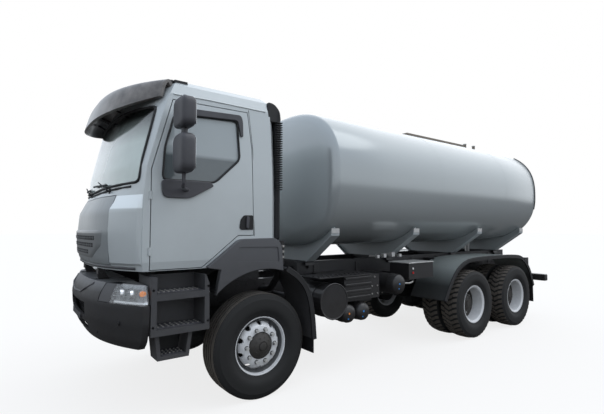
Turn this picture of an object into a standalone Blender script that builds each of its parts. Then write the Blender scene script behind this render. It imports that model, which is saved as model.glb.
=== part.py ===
"""Six-wheeled tanker truck with a tilting cab, built from separate solids.

The truck faces -Y, its left side is +X and +Z is up. Every length is in metres. Pieces are laid out with
y = 0 at the front axle, and one parent empty then centres the whole truck on its own origin at ground
level.
"""

import math

import bmesh
import bpy
from mathutils import Matrix, Vector

# Whole truck
FRONT_OVERHANG = 1.57
WHEELBASE = 3.95
BOGIE_SPACING = 1.37
REAR_OVERHANG = 1.43
TRUCK_LENGTH = FRONT_OVERHANG + WHEELBASE + BOGIE_SPACING + REAR_OVERHANG
FRONT_AXLE_FROM_CENTRE = FRONT_OVERHANG - TRUCK_LENGTH / 2
REAR_AXLES = {"front": WHEELBASE, "rear": WHEELBASE + BOGIE_SPACING}
BOGIE_CENTRE = WHEELBASE + BOGIE_SPACING / 2

# Clearances
SEAT_GAP = 0.0003
SHUT_GAP = 0.008
PANEL_GAP = 0.006
OVERRUN = 0.05
FUSE = 0.004

# Wheels
WHEEL_STEPS = 24
TYRE_RADIUS = 0.545
TYRE_WIDTH = 0.315
TREAD_WIDTH = 0.21
RIM_RADIUS = 0.2865
RIM_WIDTH = 0.23
FLANGE_HEIGHT = 0.0125
FLANGE_OVERHANG = 0.012
BARREL_WALL = 0.022
DISC_WALL = 0.018
FRONT_WHEEL_X = 1.03
TWIN_WHEEL_X = 0.92
TWIN_SPACING = 0.35
WHEEL_Z = TYRE_RADIUS * math.cos(math.pi / WHEEL_STEPS)
HUB_RADIUS = 0.09
HUB_FLANGE_RADIUS = 0.165
HUB_TAPERS = {"root": 1.1, "nose": 0.9}
FRONT_HUB_NOSE = 0.165
FRONT_HUB_BACK = 0.040
FRONT_DISC_PLANE = 0.118
FRONT_BORE_DEPTH = 0.100
REAR_HUB_NOSE = 0.20
REAR_HUB_BACK = 0.31
REAR_BORE_DEPTH = 0.43
DRUM_RADIUS = 0.20
SPINDLE_RADIUS = 0.035
REAR_SPINDLE_RADIUS = 0.06
BORE_CLEARANCE = 0.0012
BORE_END_GAP = 0.006

# Chassis frame
RAIL_OUTER_X = 0.43
RAIL_HEIGHT = 0.27
RAIL_FLANGE = 0.09
RAIL_WALL = 0.012
RAIL_TOP_Z = 1.13
RAIL_FRONT = -1.28
RAIL_REAR = 6.45
CROSSMEMBER_HEIGHT = 0.14
CROSSMEMBER_WIDTH = 0.10
CROSSMEMBER_Z = 1.0
CROSSMEMBERS = (-1.20, 1.62, 2.75, BOGIE_CENTRE, RAIL_REAR - CROSSMEMBER_WIDTH)
HANGER_LENGTH = 0.12
HANGER_HEIGHT = 0.10
FRONT_SPRING_REACH = 0.80

# Tank
TANK_FRONT = 1.08
TANK_REAR = 6.22
TANK_HALF_WIDTH = 1.217
TANK_HALF_HEIGHT = 0.925
TANK_CENTRE_Z = 2.44
TANK_TOP_Z = TANK_CENTRE_Z + TANK_HALF_HEIGHT
TANK_BOTTOM_Z = TANK_CENTRE_Z - TANK_HALF_HEIGHT
TANK_SQUARENESS = 2.5
TANK_SIDES = 48
TANK_DISH = 0.20
COAMING_X = 0.42
COAMING_FRONT = 3.30
COAMING_REAR = 5.05
COAMING_SECTION = 0.05
COAMING_HEIGHT = 0.035
COAMING_TOP_Z = TANK_TOP_Z + COAMING_HEIGHT
MANHOLE_Y = 4.15
MANHOLE_RADIUS = 0.26
MANHOLE_NECK = 0.03
MANHOLE_TOP_Z = COAMING_TOP_Z + MANHOLE_NECK
LID_RADIUS = 0.275
LID_THICKNESS = 0.025
LID_HINGE_X = -0.315
LID_HINGE_RADIUS = 0.014
VENTS = (5.30, 5.62)
VENT_X = 0.30
VENT_RADIUS = 0.03
VENT_HEIGHT = 0.08
VENT_TOP_Z = COAMING_TOP_Z + VENT_HEIGHT

# Subframe and tank saddles
SUBFRAME_TOP_Z = 1.31
SUBFRAME_FRONT = 0.98
SUBFRAME_WIDTH = 0.08
SADDLES = (1.16, 2.77, 4.53, 6.05)
SADDLE_INSET = 0.217
SADDLE_REACH = TANK_HALF_WIDTH - SADDLE_INSET
SADDLE_TIP_RISE = 0.165
SADDLE_TIP_Z = TANK_BOTTOM_Z + SADDLE_TIP_RISE
SADDLE_ROOT_X = 0.47
SADDLE_PLATE = 0.016
SADDLE_FLANGE_WIDTH = 0.14
SADDLE_FLANGE_THICKNESS = 0.014
SADDLE_FOOT_Z = 1.215

# Cab, columns: height, half width, front at the middle, front at the corner, back
CAB_SECTIONS = (
    (1.380, 1.165, -1.475, -1.205, 0.180),
    (1.460, 1.175, -1.510, -1.215, 0.180),
    (1.720, 1.175, -1.528, -1.218, 0.180),
    (1.920, 1.175, -1.512, -1.215, 0.180),
    (2.030, 1.175, -1.455, -1.213, 0.180),
    (2.110, 1.175, -1.412, -1.210, 0.180),
    (2.320, 1.172, -1.398, -1.188, 0.178),
    (2.850, 1.155, -1.285, -1.045, 0.165),
    (3.020, 1.148, -1.225, -0.985, 0.155),
    (3.120, 1.125, -1.150, -0.940, 0.135),
    (3.180, 1.050, -1.020, -0.890, 0.090),
)
CAB_FLOOR_Z = 1.38
CAB_ROOF_Z = 3.180
CAB_WALL = 0.065
CAB_FLOOR_THICKNESS = 0.08
CAB_FRONT_CURVE = 2.8
CAB_CORNER = 0.06
CAB_FRONT_SHARES = (0.0, 0.30, 0.55, 0.75, 0.88, 0.96, 1.0)
CAB_HINGE_Y = -1.405
CAB_HINGE_Z = 1.34

# Doors, points as distance behind the front axle and height
DOOR_FRONT = -1.155
DOOR_REAR = -0.105
DOOR_FOOT_Z = 1.385
DOOR_OUTLINE = (
    (DOOR_FRONT, DOOR_FOOT_Z),
    (-0.665, DOOR_FOOT_Z),
    (-0.285, 1.685),
    (DOOR_REAR, 1.685),
    (-0.125, 2.58),
    (-0.175, 2.975),
    (-0.965, 2.965),
    (DOOR_FRONT, 2.29),
)
DOOR_WINDOW = (
    (-1.052, 2.205),
    (-0.545, 2.205),
    (-0.272, 2.46),
    (-0.300, 2.86),
    (-0.945, 2.83),
    (-1.035, 2.50),
)
DOORWAY_INNER_X = 1.04
GLASS_INSET = 0.012
GLASS_THICKNESS = 0.006
GLASS_GAP = 0.0005

DOOR_BARREL_RADIUS = 0.014
DOOR_BARREL_LENGTH = 0.07
DOOR_BARRELS_Z = (1.52, 2.02)

# Cab tilt hinge and rest
TILT_PLATE_X = 0.35
TILT_PLATE_THICKNESS = 0.03
TILT_PLATE_OUTLINE = (
    (-1.435, 1.315), (-1.432, 1.350), (-1.405, 1.362), (-1.375, 1.350), (-1.240, 1.125), (-1.240, 1.010),
    (-1.330, 1.010)
)
TILT_PIN_RADIUS = 0.018
TILT_LUG_X = 0.39
TILT_LUG_WIDTH = 0.06
TILT_LUG_HALF_LENGTH = 0.030
CAB_POST_Y = 0.0
CAB_POST_LENGTH = 0.08

# Windscreen and front panel, points as distance from the centre line and height
SCREEN_OUTLINE = ((1.105, 2.175), (1.06, 2.90), (0.0, 2.93), (-1.06, 2.90), (-1.105, 2.175), (0.0, 2.14))
PANEL_HALF_WIDTH = 0.80
PANEL_FOOT_Z = 1.42
PANEL_TOP_Z = 2.07
PANEL_HINGE_Y = -1.455
PANEL_HINGE_Z = 2.066
BUFFER_X = 0.50
BUFFER_WIDTH = 0.08
BUFFER_FRONT_Y = -1.60
BUFFER_REAR_Y = -1.34
BUFFER_GAP = 0.0006
SHIELD_OUTLINE = ((0.70, 1.745), (0.67, 1.60), (0.45, 1.475), (-0.45, 1.475), (-0.67, 1.60), (-0.70, 1.745))
SHIELD_DEPTH = 0.012
SLOT_ROWS = (1.51, 1.58, 1.65)
SLOT_HEIGHT = 0.030
SLOT_WIDTH = 0.105
SLOT_PITCH = 0.130
SLOTS_EACH_SIDE = (3, 4, 4)
FRONT_DEPTH = 0.62

# Wings over the front wheels, ridden by the cab
ARCH_RADIUS = 0.80
ARCH_WALL = 0.028
WING_OUTER_X = 1.24
WING_INNER_X = 0.72
WING_OUTLINE = ((-0.545, 1.118), (-0.497, 1.362), (-0.642, 1.386), (-0.318, 1.632), (-0.270, 1.654),
                (0.11, 1.660),
                (0.180, 1.620), (0.207, 1.54), (0.225, 1.308))
WING_RECESS = ((-0.305, 1.575), (0.155, 1.565), (0.172, 1.41), (-0.335, 1.43))
WING_RECESS_DEPTH = 0.007
ARCH_STEPS = 8
LINER_SETBACK_ANGLE = math.radians(1.5)

# Front mudguard halves on the chassis
GUARD_PATH = ((0.285, 1.345), (0.46, 1.235), (0.585, 1.075), (0.645, 0.82), (0.668, 0.52))
GUARD_WALL = 0.026
GUARD_LIP = 0.05
GUARD_LIP_WALL = 0.02
FLAP_FOOT_Z = 0.36
FLAP_WALL = 0.012
ARM_RADIUS = 0.02

# Steps
STEP_FRONT = -1.15
STEP_REAR = -0.612
STEP_INNER_X = 0.84
STEP_FOOT_Z = 0.82
STEP_TOP_Z = 1.33
STEP_OUTLINE = (
    (STEP_FRONT, STEP_FOOT_Z),
    (STEP_REAR, STEP_FOOT_Z),
    (STEP_REAR - 0.006, 1.25),
    (STEP_REAR - 0.038, STEP_TOP_Z),
    (STEP_FRONT, STEP_TOP_Z),
)
STEP_WALL = 0.05
STEP_POCKETS = ((0.875, 1.125), (1.185, 1.40))
STEP_POCKET_X = 0.97
HANGING_STEP_OUTLINE = ((-1.10, 0.84), (-1.07, 0.59), (-0.785, 0.59), (-0.75, 0.84))
HANGING_STEP_HOLE = ((-1.06, 0.815), (-1.04, 0.625), (-0.815, 0.625), (-0.79, 0.815))
HANGING_STEP_INNER_X = 0.98
HANGING_STEP_OUTER_X = 1.18
STEP_BEAM_Y = -1.02
STEP_BEAM_Z = 0.98
STEP_BEAM_SECTION = 0.10

# Bumper, columns: height, half width, front at the middle, front at the corner, back
BUMPER_SECTIONS = (
    (0.700, 1.100, -1.455, -1.215, -1.160),
    (0.765, 1.190, -1.505, -1.215, -1.160),
    (0.930, 1.235, -1.560, -1.215, -1.160),
    (1.090, 1.240, -1.570, -1.215, -1.160),
    (1.180, 1.225, -1.545, -1.205, -1.160),
    (1.262, 1.190, -1.490, -1.190, -1.160),
)
BUMPER_WALL = 0.06
LAMP_INNER_X = 0.72
LAMP_FOOT_Z = 1.095
LAMP_TOP_Z = 1.262
LAMP_DEPTH = 0.17
GRILLE_HALF_WIDTH = 0.42
GRILLE_ROWS = ((0.79, 0.86), (0.92, 1.05))
BUMPER_CURVE = 2.6
BUMPER_BRACKET_X = 0.4075
BUMPER_BRACKET_WIDTH = 0.045
BUMPER_BRACKET_FOOT_Z = 0.90
BUMPER_BRACKET_TOP_Z = 1.08

# Sun visor: its root on the roof, its upper edge and its lip, columns: front at the middle, height there,
# setback at the ends, rise at the ends
VISOR_HALF_WIDTH = 1.10
VISOR_LINES = (
    (-1.140, 3.060, 0.230, 0.000),
    (-1.375, 3.160, 0.385, 0.015),
    (-1.500, 2.865, 0.430, 0.120),
)
VISOR_WALL = 0.03
VISOR_STATIONS_SHARES = (-1.0, -0.93, -0.8, -0.6, -0.3, 0.0, 0.3, 0.6, 0.8, 0.93, 1.0)

# Cab fittings
SEAT_X = 0.52
SEAT_WIDTH = 0.50
SEAT_BASE_Z = 1.78
SEAT_CUSHION = 0.14
SEAT_FRONT = -0.72
SEAT_REAR = -0.20
SEAT_BACK_TOP_Z = 2.60
SEAT_BACK_THICKNESS = 0.14
SEAT_FOOT_WIDTH = 0.30
SEAT_EDGE = 0.035
DASH_HALF_WIDTH = 1.02
DASH_FRONT = -1.27
DASH_REAR = -0.93
DASH_FOOT_Z = 1.70
DASH_TOP_Z = 2.10
STEERING_RADIUS = 0.235
STEERING_RIM = 0.016
STEERING_Y = -0.80
STEERING_Z = 2.16
STEERING_TILT = math.radians(40)
INTAKE_FRONT = 0.18
INTAKE_REAR = 0.245
INTAKE_OUTER_X = 1.16
INTAKE_INNER_X = 0.96
INTAKE_FOOT_Z = 1.62
INTAKE_TOP_Z = 3.08

# Mirrors
MIRROR_X = 1.43
MIRROR_Y = -0.95
MIRROR_WIDTH = 0.27
MIRROR_DEPTH = 0.14
MIRROR_SPANS = ((2.24, 2.585), (2.635, 2.905))
MIRROR_EDGE = 0.035
MIRROR_ARM_RADIUS = 0.016
MIRROR_ARM_FOOT_Z = 2.12
MIRROR_ARM_TOP_Z = 2.93
MIRROR_BASE_OUTLINE = ((-1.05, 2.04), (-0.80, 2.035), (-0.56, 2.17), (-1.07, 2.17))
MIRROR_BASE_THICKNESS = 0.03

# Running gear
KINGPIN_X = 0.84
KINGPIN_RADIUS = 0.05
FIST_HALF_HEIGHT = 0.04
LUG_THICKNESS = 0.06
KNUCKLE_WEB_X = 0.958
KNUCKLE_WEB_THICKNESS = 0.022
KNUCKLE_WEB_HALF_WIDTH = 0.06
ARM_LENGTH = 0.16
STEERING_ARM_Z = 0.43
STEERING_ARM_SECTION = 0.030
TIE_ROD_RADIUS = 0.018
TIE_ROD_EYE = 0.022
TIE_ROD_CLEARANCE = 0.0005
AXLE_BEAM_OUTLINE = ((0.50, 0.35), (0.70, 0.51), (0.82, 0.51))
AXLE_BEAM_HEIGHT = 0.10
AXLE_FIST_HEIGHT = 0.06
AXLE_BEAM_WIDTH = 0.09
SPRING_WIDTH = 0.075
SPRING_X = 0.385
SPRING_END = 0.03
SPRING_PACK = 0.115
FRONT_SPRING_EYE_Z = 0.745
FRONT_SPRING_SAG = 0.215
SPRING_STEPS = 8
REAR_TUBE_RADIUS = 0.07
REAR_TUBE_END_X = 0.60
BANJO_RADIUS = 0.21
PINION_LENGTH = 0.42
PINION_Z = 0.62
PINION_RADIUS = 0.07
BOGIE_SPRING_TOP_Z = 0.82
BOGIE_SPRING_DROP = 0.13
BOGIE_PAD_SECTION = 0.13
TRUNNION_LENGTH = 0.26
PROP_RADIUS = 0.05

# Engine and gearbox
ENGINE_FRONT = -0.85
ENGINE_REAR = 0.45
ENGINE_HALF_WIDTH = 0.33
ENGINE_FOOT_Z = 0.64
ENGINE_TOP_Z = 1.30
GEARBOX_REAR = 1.35
GEARBOX_HALF_WIDTH = 0.20
GEARBOX_FOOT_Z = 0.68
GEARBOX_TOP_Z = 1.04
PROP_START_Z = 0.80
ENGINE_MOUNT_Y = (-0.55, 0.20)
ENGINE_MOUNT_Z = 0.98
ENGINE_MOUNT_SECTION = 0.08

# Equipment beside the frame
SILENCER_Y = 1.0
SILENCER_Z = 0.89
SILENCER_RADIUS = 0.215
SILENCER_OUTER_X = 1.17
BATTERY_FRONT = 1.225
BATTERY_REAR = 1.70
BATTERY_FOOT_Z = 0.845
BATTERY_TOP_Z = 1.155
BATTERY_OUTER_X = 1.10
BATTERY_END_REAR = 1.88
BATTERY_RIBS = (0.93, 1.04)
RIB_SECTION = 0.025
HANGER_PLATE = 0.025
HANGER_FRONT = 0.80
HANGER_REAR = 2.38
HANGER_FOOT_Z = 0.66
HANGER_TOP_Z = 1.08
RESERVOIRS = ((1.29, 0.70, 0.115), (1.54, 0.70, 0.115), (2.24, 0.985, 0.14))
RESERVOIR_OUTER_X = 1.15
RESERVOIR_DOME = 0.06
RESERVOIR_SIDES = 20
CONTROL_FRONT = 2.41
CONTROL_REAR = 2.97
CONTROL_FOOT_Z = 1.04
CONTROL_TOP_Z = 1.265
CONTROL_OUTER_X = 1.15
CONTROL_INNER_X = 0.80
FUEL_FRONT = 0.82
FUEL_REAR = 2.10
FUEL_FOOT_Z = 0.55
FUEL_TOP_Z = 1.16
FUEL_OUTER_X = 1.16
FUEL_INNER_X = 0.50
FUEL_EDGE = 0.09

# Rear mudguards
REAR_GUARD_PATH = (
    (3.13, 0.68), (3.38, 1.06), (3.62, 1.22), (3.92, 1.29), (5.40, 1.285), (5.68, 1.20), (5.90, 0.99),
    (6.03, 0.68)
)
REAR_GUARD_INNER_X = 0.60
REAR_GUARD_OUTER_X = 1.24
REAR_GUARD_ARMS = (3.72, BOGIE_CENTRE, 5.50)
REAR_GUARD_ARM_Z = 1.17
REAR_GUARD_ARM_SECTION = 0.05
REAR_FLAP_FOOT_Z = 0.36

# Rear end
UNDERRUN_HALF_WIDTH = 1.19
UNDERRUN_FRONT = 6.63
UNDERRUN_FOOT_Z = 0.70
UNDERRUN_TOP_Z = 0.83
REAR_BEAM_FRONT = 6.4503
REAR_BEAM_REAR = 6.53
REAR_BEAM_FOOT_Z = 0.99
REAR_BEAM_TOP_Z = 1.09
REAR_LAMP_INNER_X = 0.60
REAR_LAMP_OUTER_X = 0.90
REAR_LAMP_FOOT_Z = 0.96
REAR_LAMP_TOP_Z = 1.16
REAR_LAMP_REAR = 6.58
UNDERRUN_BRACKET_X = 0.36
UNDERRUN_BRACKET_WIDTH = 0.06
OUTLET_Y = 5.80
OUTLET_Z = 1.145
OUTLET_END = 6.70
OUTLET_RADIUS = 0.05
OUTLET_FLANGE_RADIUS = 0.085
OUTLET_FLANGE = 0.03
LADDER_X = -0.38
LADDER_HALF_WIDTH = 0.19
LADDER_Y = 6.55
LADDER_RADIUS = 0.018
LADDER_FOOT_Z = 1.06
LADDER_TOP_Z = 3.05
LADDER_RUNGS = 8

# Surface finishes, columns: colour, roughness, metallic
FINISHES = {
    "silver_paint": ((0.36, 0.38, 0.39), 0.35, 0.6),
    "tank_paint": ((0.42, 0.45, 0.46), 0.32, 0.6),
    "chassis_black": ((0.015, 0.015, 0.016), 0.5, 0.0),
    "grey_plastic": ((0.045, 0.047, 0.05), 0.6, 0.0),
    "rubber": ((0.012, 0.012, 0.012), 0.85, 0.0),
    "rim_silver": ((0.5, 0.5, 0.5), 0.35, 0.8),
    "cast_iron": ((0.05, 0.05, 0.05), 0.7, 0.3),
    "glass": ((0.03, 0.05, 0.045), 0.05, 0.0),
    "lamp": ((0.7, 0.7, 0.7), 0.1, 0.3),
    "smoked": ((0.03, 0.025, 0.022), 0.3, 0.0),
    "cabin_trim": ((0.06, 0.06, 0.065), 0.8, 0.0),
    "galvanised": ((0.45, 0.46, 0.47), 0.45, 0.9),
}

PARTS = bpy.data.collections.new("tanker_truck")
LEFT = 1
RIGHT = -1
SIDES = {"left": LEFT, "right": RIGHT}


def clear_scene():
    for obj in list(bpy.data.objects):
        bpy.data.objects.remove(obj, do_unlink=True)
    bpy.context.scene.collection.children.link(PARTS)


def from_bmesh(name, shape, faces_out=False):
    if not faces_out:
        bmesh.ops.recalc_face_normals(shape, faces=shape.faces)
    mesh = bpy.data.meshes.new(name)
    shape.to_mesh(mesh)
    shape.free()
    obj = bpy.data.objects.new(name, mesh)
    PARTS.objects.link(obj)
    return obj


def baked(obj, faces_out=False):
    """The evaluated object as one plain mesh object, with its loose caps welded."""
    bpy.context.view_layer.update()
    evaluated = obj.evaluated_get(bpy.context.evaluated_depsgraph_get())
    mesh = bpy.data.meshes.new_from_object(evaluated)
    shape = bmesh.new()
    shape.from_mesh(mesh)
    bmesh.ops.transform(shape, matrix=obj.matrix_world.copy(), verts=shape.verts)
    bmesh.ops.remove_doubles(shape, verts=shape.verts, dist=SEAT_GAP / 10)
    name = obj.name
    bpy.data.objects.remove(obj, do_unlink=True)
    bpy.data.meshes.remove(mesh)
    return from_bmesh(name, shape, faces_out)


def box(name, low, high):
    size = [b - a for a, b in zip(low, high)]
    centre = [(a + b) / 2 for a, b in zip(low, high)]
    shape = bmesh.new()
    bmesh.ops.create_cube(shape, size=1, matrix=Matrix.Translation(centre) @ Matrix.Diagonal((*size, 1)))
    return from_bmesh(name, shape)


def rounded(obj, radius, segments=2):
    bevel = obj.modifiers.new("edges", "BEVEL")
    bevel.width = radius
    bevel.segments = segments
    return baked(obj)


def rod(name, start, end, radius, sides=12, end_radius=None):
    """A round bar, or a cone where end_radius differs."""
    start, end = Vector(start), Vector(end)
    turn = Vector((0, 0, 1)).rotation_difference(end - start).to_matrix().to_4x4()
    shape = bmesh.new()
    bmesh.ops.create_cone(
        shape,
        cap_ends=True,
        segments=sides,
        radius1=radius,
        radius2=radius if end_radius is None else end_radius,
        depth=(end - start).length,
        matrix=Matrix.Translation((start + end) / 2) @ turn,
    )
    return from_bmesh(name, shape)


def tube(name, points, radius, resolution=2):
    curve = bpy.data.curves.new(name, "CURVE")
    curve.dimensions = "3D"
    curve.bevel_depth = radius
    curve.bevel_resolution = resolution
    curve.use_fill_caps = True
    spline = curve.splines.new("POLY")
    spline.points.add(len(points) - 1)
    for point, place in zip(spline.points, points):
        point.co = (*place, 1)
    obj = bpy.data.objects.new(name, curve)
    PARTS.objects.link(obj)
    return baked(obj)


PLANES = {
    "X": Matrix(((0, 0, 1, 0), (1, 0, 0, 0), (0, 1, 0, 0), (0, 0, 0, 1))),
    "Y": Matrix(((1, 0, 0, 0), (0, 0, -1, 0), (0, 1, 0, 0), (0, 0, 0, 1))),
}


def prism(name, outline, axis, low, high):
    """A flat outline of the two other axes, run along one axis from low to high."""
    curve = bpy.data.curves.new(name, "CURVE")
    curve.dimensions = "2D"
    curve.fill_mode = "BOTH"
    curve.extrude = (high - low) / 2
    spline = curve.splines.new("POLY")
    spline.points.add(len(outline) - 1)
    for point, place in zip(spline.points, outline):
        point.co = (*place, 0, 1)
    spline.use_cyclic_u = True
    obj = bpy.data.objects.new(name, curve)
    PARTS.objects.link(obj)
    middle = (low + high) / 2
    offset = {"X": (middle, 0, 0), "Y": (0, middle, 0)}[axis]
    obj.matrix_world = Matrix.Translation(offset) @ PLANES[axis]
    return baked(obj)


def loft(name, rings, split=False):
    """A closed skin through rings of equally many points, with both ends filled.

    Where split is set, each face becomes two triangles that lean the same way on both sides of the truck.
    """
    shape = bmesh.new()
    rows = [[shape.verts.new(point) for point in ring] for ring in rings]
    for lower, upper in zip(rows, rows[1:]):
        for index in range(len(lower)):
            after = (index + 1) % len(lower)
            corners = (lower[index], lower[after], upper[after], upper[index])
            if not split:
                shape.faces.new(corners)
                continue
            start = 0 if index < len(lower) / 2 else 1
            shape.faces.new((corners[start], corners[start + 1], corners[start + 2]))
            shape.faces.new((corners[start + 2], corners[(start + 3) % 4], corners[start]))
    shape.faces.new(rows[0])
    shape.faces.new(rows[-1])
    return from_bmesh(name, shape)


def turned(name, profile, centre, steps=WHEEL_STEPS, ring=False):
    """A profile of (distance along X, radius) points turned about the X axis through centre."""
    shape = bmesh.new()
    points = [shape.verts.new((radius, 0, along)) for along, radius in profile]
    for first, second in zip(points, points[1:] + points[:1] if ring else points[1:]):
        shape.edges.new((first, second))
    mesh = bpy.data.meshes.new(name)
    shape.to_mesh(mesh)
    shape.free()
    obj = bpy.data.objects.new(name, mesh)
    PARTS.objects.link(obj)
    screw = obj.modifiers.new("turn", "SCREW")
    screw.steps = steps
    screw.render_steps = steps
    screw.use_merge_vertices = True
    screw.merge_threshold = SEAT_GAP / 10
    half_step = Matrix.Rotation(math.pi / steps, 4, "Z")
    along_x = Matrix.Rotation(math.pi / 2, 4, "Y")
    obj.matrix_world = Matrix.Translation(centre) @ along_x @ half_step
    return baked(obj)


def boolean(target, tools, operation):
    for index, tool in enumerate(tools):
        change = target.modifiers.new(f"{operation.lower()}_{index}", "BOOLEAN")
        change.operation = operation
        change.solver = "EXACT"
        change.object = tool
    result = baked(target, faces_out=True)
    for tool in tools:
        bpy.data.objects.remove(tool, do_unlink=True)
    return result


def unite(target, *tools):
    return boolean(target, tools, "UNION")


def cut(target, *tools):
    return boolean(target, tools, "DIFFERENCE")


def common(target, tool):
    return boolean(target, (tool,), "INTERSECT")


def copied(obj, name):
    twin = obj.copy()
    twin.data = obj.data.copy()
    twin.name = name
    PARTS.objects.link(twin)
    return twin


def mirrored(obj, name):
    shape = bmesh.new()
    shape.from_mesh(obj.data)
    bmesh.ops.transform(shape, matrix=Matrix.Diagonal((-1, 1, 1, 1)), verts=shape.verts)
    bmesh.ops.reverse_faces(shape, faces=shape.faces)
    return from_bmesh(name, shape, faces_out=True)


def sheet_outline(path, wall):
    """A path with a wall added on its right-hand side, as one closed outline."""
    inner = []
    for index, point in enumerate(path):
        before = Vector(path[max(index - 1, 0)])
        after = Vector(path[min(index + 1, len(path) - 1)])
        along = (after - before).normalized()
        inner.append(Vector(point) + Vector((along.y, -along.x)) * wall)
    return [tuple(point) for point in path] + [tuple(point) for point in reversed(inner)]


def between(table, height):
    """The columns of a table of sections, read at one height."""
    for lower, upper in zip(table, table[1:]):
        if height <= upper[0] or upper is table[-1]:
            share = (height - lower[0]) / (upper[0] - lower[0])
            return [a + (b - a) * share for a, b in zip(lower[1:], upper[1:])]


def plan_ring(table, height, curve, inset=0.0):
    """One level of a body with a bowed front, drawn in plan."""
    half_width, front, corner, back = between(table, height)
    half_width -= inset
    front += inset
    corner += inset
    back -= inset
    half = [(share * half_width, front + (corner - front) * share**curve) for share in CAB_FRONT_SHARES]
    edge = min(CAB_CORNER, (back - corner) / 2)
    half += [(half_width, back - edge), (half_width - edge, back)]
    return [(x, y, height) for x, y in half] + [(-x, y, height) for x, y in reversed(half[1:])]


def plan_body(name, table, curve, inset=0.0, foot=None, top=None):
    foot = table[0][0] if foot is None else foot
    top = table[-1][0] if top is None else top
    levels = [foot] + [row[0] for row in table if foot < row[0] < top] + [top]
    return loft(name, [plan_ring(table, level, curve, inset) for level in levels], split=True)


def cab_body(name, inset=0.0, foot=CAB_FLOOR_Z, top=CAB_ROOF_Z):
    return plan_body(name, CAB_SECTIONS, CAB_FRONT_CURVE, inset, foot, top)


def cab_wall():
    cabin = cab_body("cabin", CAB_WALL, CAB_FLOOR_Z + CAB_FLOOR_THICKNESS, CAB_ROOF_Z - CAB_WALL)
    return cut(cab_body("cab_wall"), cabin)


def shrunk(outline, gap):
    """An outline moved inwards by a gap on every side."""
    area = sum(a[0] * b[1] - b[0] * a[1] for a, b in zip(outline, outline[1:] + outline[:1]))
    turn = 1 if area > 0 else -1
    result = []
    for index, point in enumerate(outline):
        before = Vector(outline[index - 1])
        here = Vector(point)
        after = Vector(outline[(index + 1) % len(outline)])
        first = (here - before).normalized()
        second = (after - here).normalized()
        normal_1 = Vector((-first.y, first.x)) * turn
        normal_2 = Vector((-second.y, second.x)) * turn
        middle = (normal_1 + normal_2).normalized()
        result.append(tuple(here + middle * gap / middle.dot(normal_1)))
    return result


def side_prism(name, outline, inner_x, outer_x=None):
    return prism(name, outline, "X", inner_x, WING_OUTER_X + OVERRUN if outer_x is None else outer_x)


def front_prism(name, outline, depth=FRONT_DEPTH):
    return prism(name, outline, "Y", -FRONT_OVERHANG - OVERRUN, -FRONT_OVERHANG - OVERRUN + depth)


def panel_outline():
    width = PANEL_HALF_WIDTH
    return ((width, PANEL_FOOT_Z), (width, PANEL_TOP_Z), (-width, PANEL_TOP_Z), (-width, PANEL_FOOT_Z))


def door_barrels(name, gap=0.0):
    """The left door's two hinge barrels, on the seam at the door's front edge."""
    place = (CAB_SECTIONS[1][1], DOOR_FRONT)
    return [rod(name, (*place, low - gap), (*place, low + DOOR_BARREL_LENGTH + gap),
                DOOR_BARREL_RADIUS + gap, sides=16)
            for low in DOOR_BARRELS_Z]


def cab_lugs():
    """The two eyes under the floor that turn on the chassis pins."""
    lugs = []
    for side in (LEFT, RIGHT):
        near, far = sorted((side * TILT_LUG_X, side * (TILT_LUG_X + TILT_LUG_WIDTH)))
        half = TILT_LUG_HALF_LENGTH
        lug = box("tilt_lug", (near, CAB_HINGE_Y - half, CAB_HINGE_Z - half),
                  (far, CAB_HINGE_Y + half, CAB_FLOOR_Z + FUSE))
        bore = rod("bore", (near - FUSE, CAB_HINGE_Y, CAB_HINGE_Z), (far + FUSE, CAB_HINGE_Y, CAB_HINGE_Z),
                   TILT_PIN_RADIUS + BORE_CLEARANCE, sides=16)
        lugs.append(cut(lug, bore))
    return lugs


def tilt_brackets():
    """The plates on the rails' front ends, the pins that the cab tilts on and its rear rests."""
    pieces = []
    for side in (LEFT, RIGHT):
        near, far = sorted((side * TILT_PLATE_X, side * (TILT_PLATE_X + TILT_PLATE_THICKNESS)))
        pieces.append(prism("tilt_plate", TILT_PLATE_OUTLINE, "X", near, far))
        pieces.append(rod("tilt_pin", (side * (TILT_PLATE_X + FUSE), CAB_HINGE_Y, CAB_HINGE_Z),
                          (side * (TILT_LUG_X + TILT_LUG_WIDTH + FUSE), CAB_HINGE_Y, CAB_HINGE_Z),
                          TILT_PIN_RADIUS,
                          sides=16))
        near, far = sorted((side * (RAIL_OUTER_X - RAIL_FLANGE + FUSE), side * (RAIL_OUTER_X - FUSE)))
        pieces.append(box("cab_post", (near, CAB_POST_Y, RAIL_TOP_Z - FUSE),
                          (far, CAB_POST_Y + CAB_POST_LENGTH, CAB_FLOOR_Z - SEAT_GAP)))
    return pieces


def panel_buffers():
    """The two stops on the cab's floor that the closed front panel lies against."""
    buffers = []
    for side in (LEFT, RIGHT):
        near, far = sorted((side * BUFFER_X, side * (BUFFER_X + BUFFER_WIDTH)))
        block = box("buffer", (near, BUFFER_FRONT_Y, CAB_FLOOR_Z + FUSE),
                    (far, BUFFER_REAR_Y, CAB_FLOOR_Z + CAB_FLOOR_THICKNESS))
        buffers.append(common(block, cab_body("buffer_seat", CAB_WALL + BUFFER_GAP)))
    return buffers


def cab_shell(wall):
    shell = copied(wall, "cab_shell")
    left = side_prism("left_doorway", DOOR_OUTLINE, DOORWAY_INNER_X)
    right = mirrored(left, "right_doorway")
    shell = cut(shell, left, right)
    shell = cut(shell, front_prism("panel_opening", panel_outline()),
                front_prism("screen_opening", SCREEN_OUTLINE))
    recesses = door_barrels("recess", SEAT_GAP * 2)
    recesses += [mirrored(recess, "right_recess") for recess in recesses]
    return [unite(cut(shell, *recesses), *cab_lugs(), *panel_buffers())]


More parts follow.
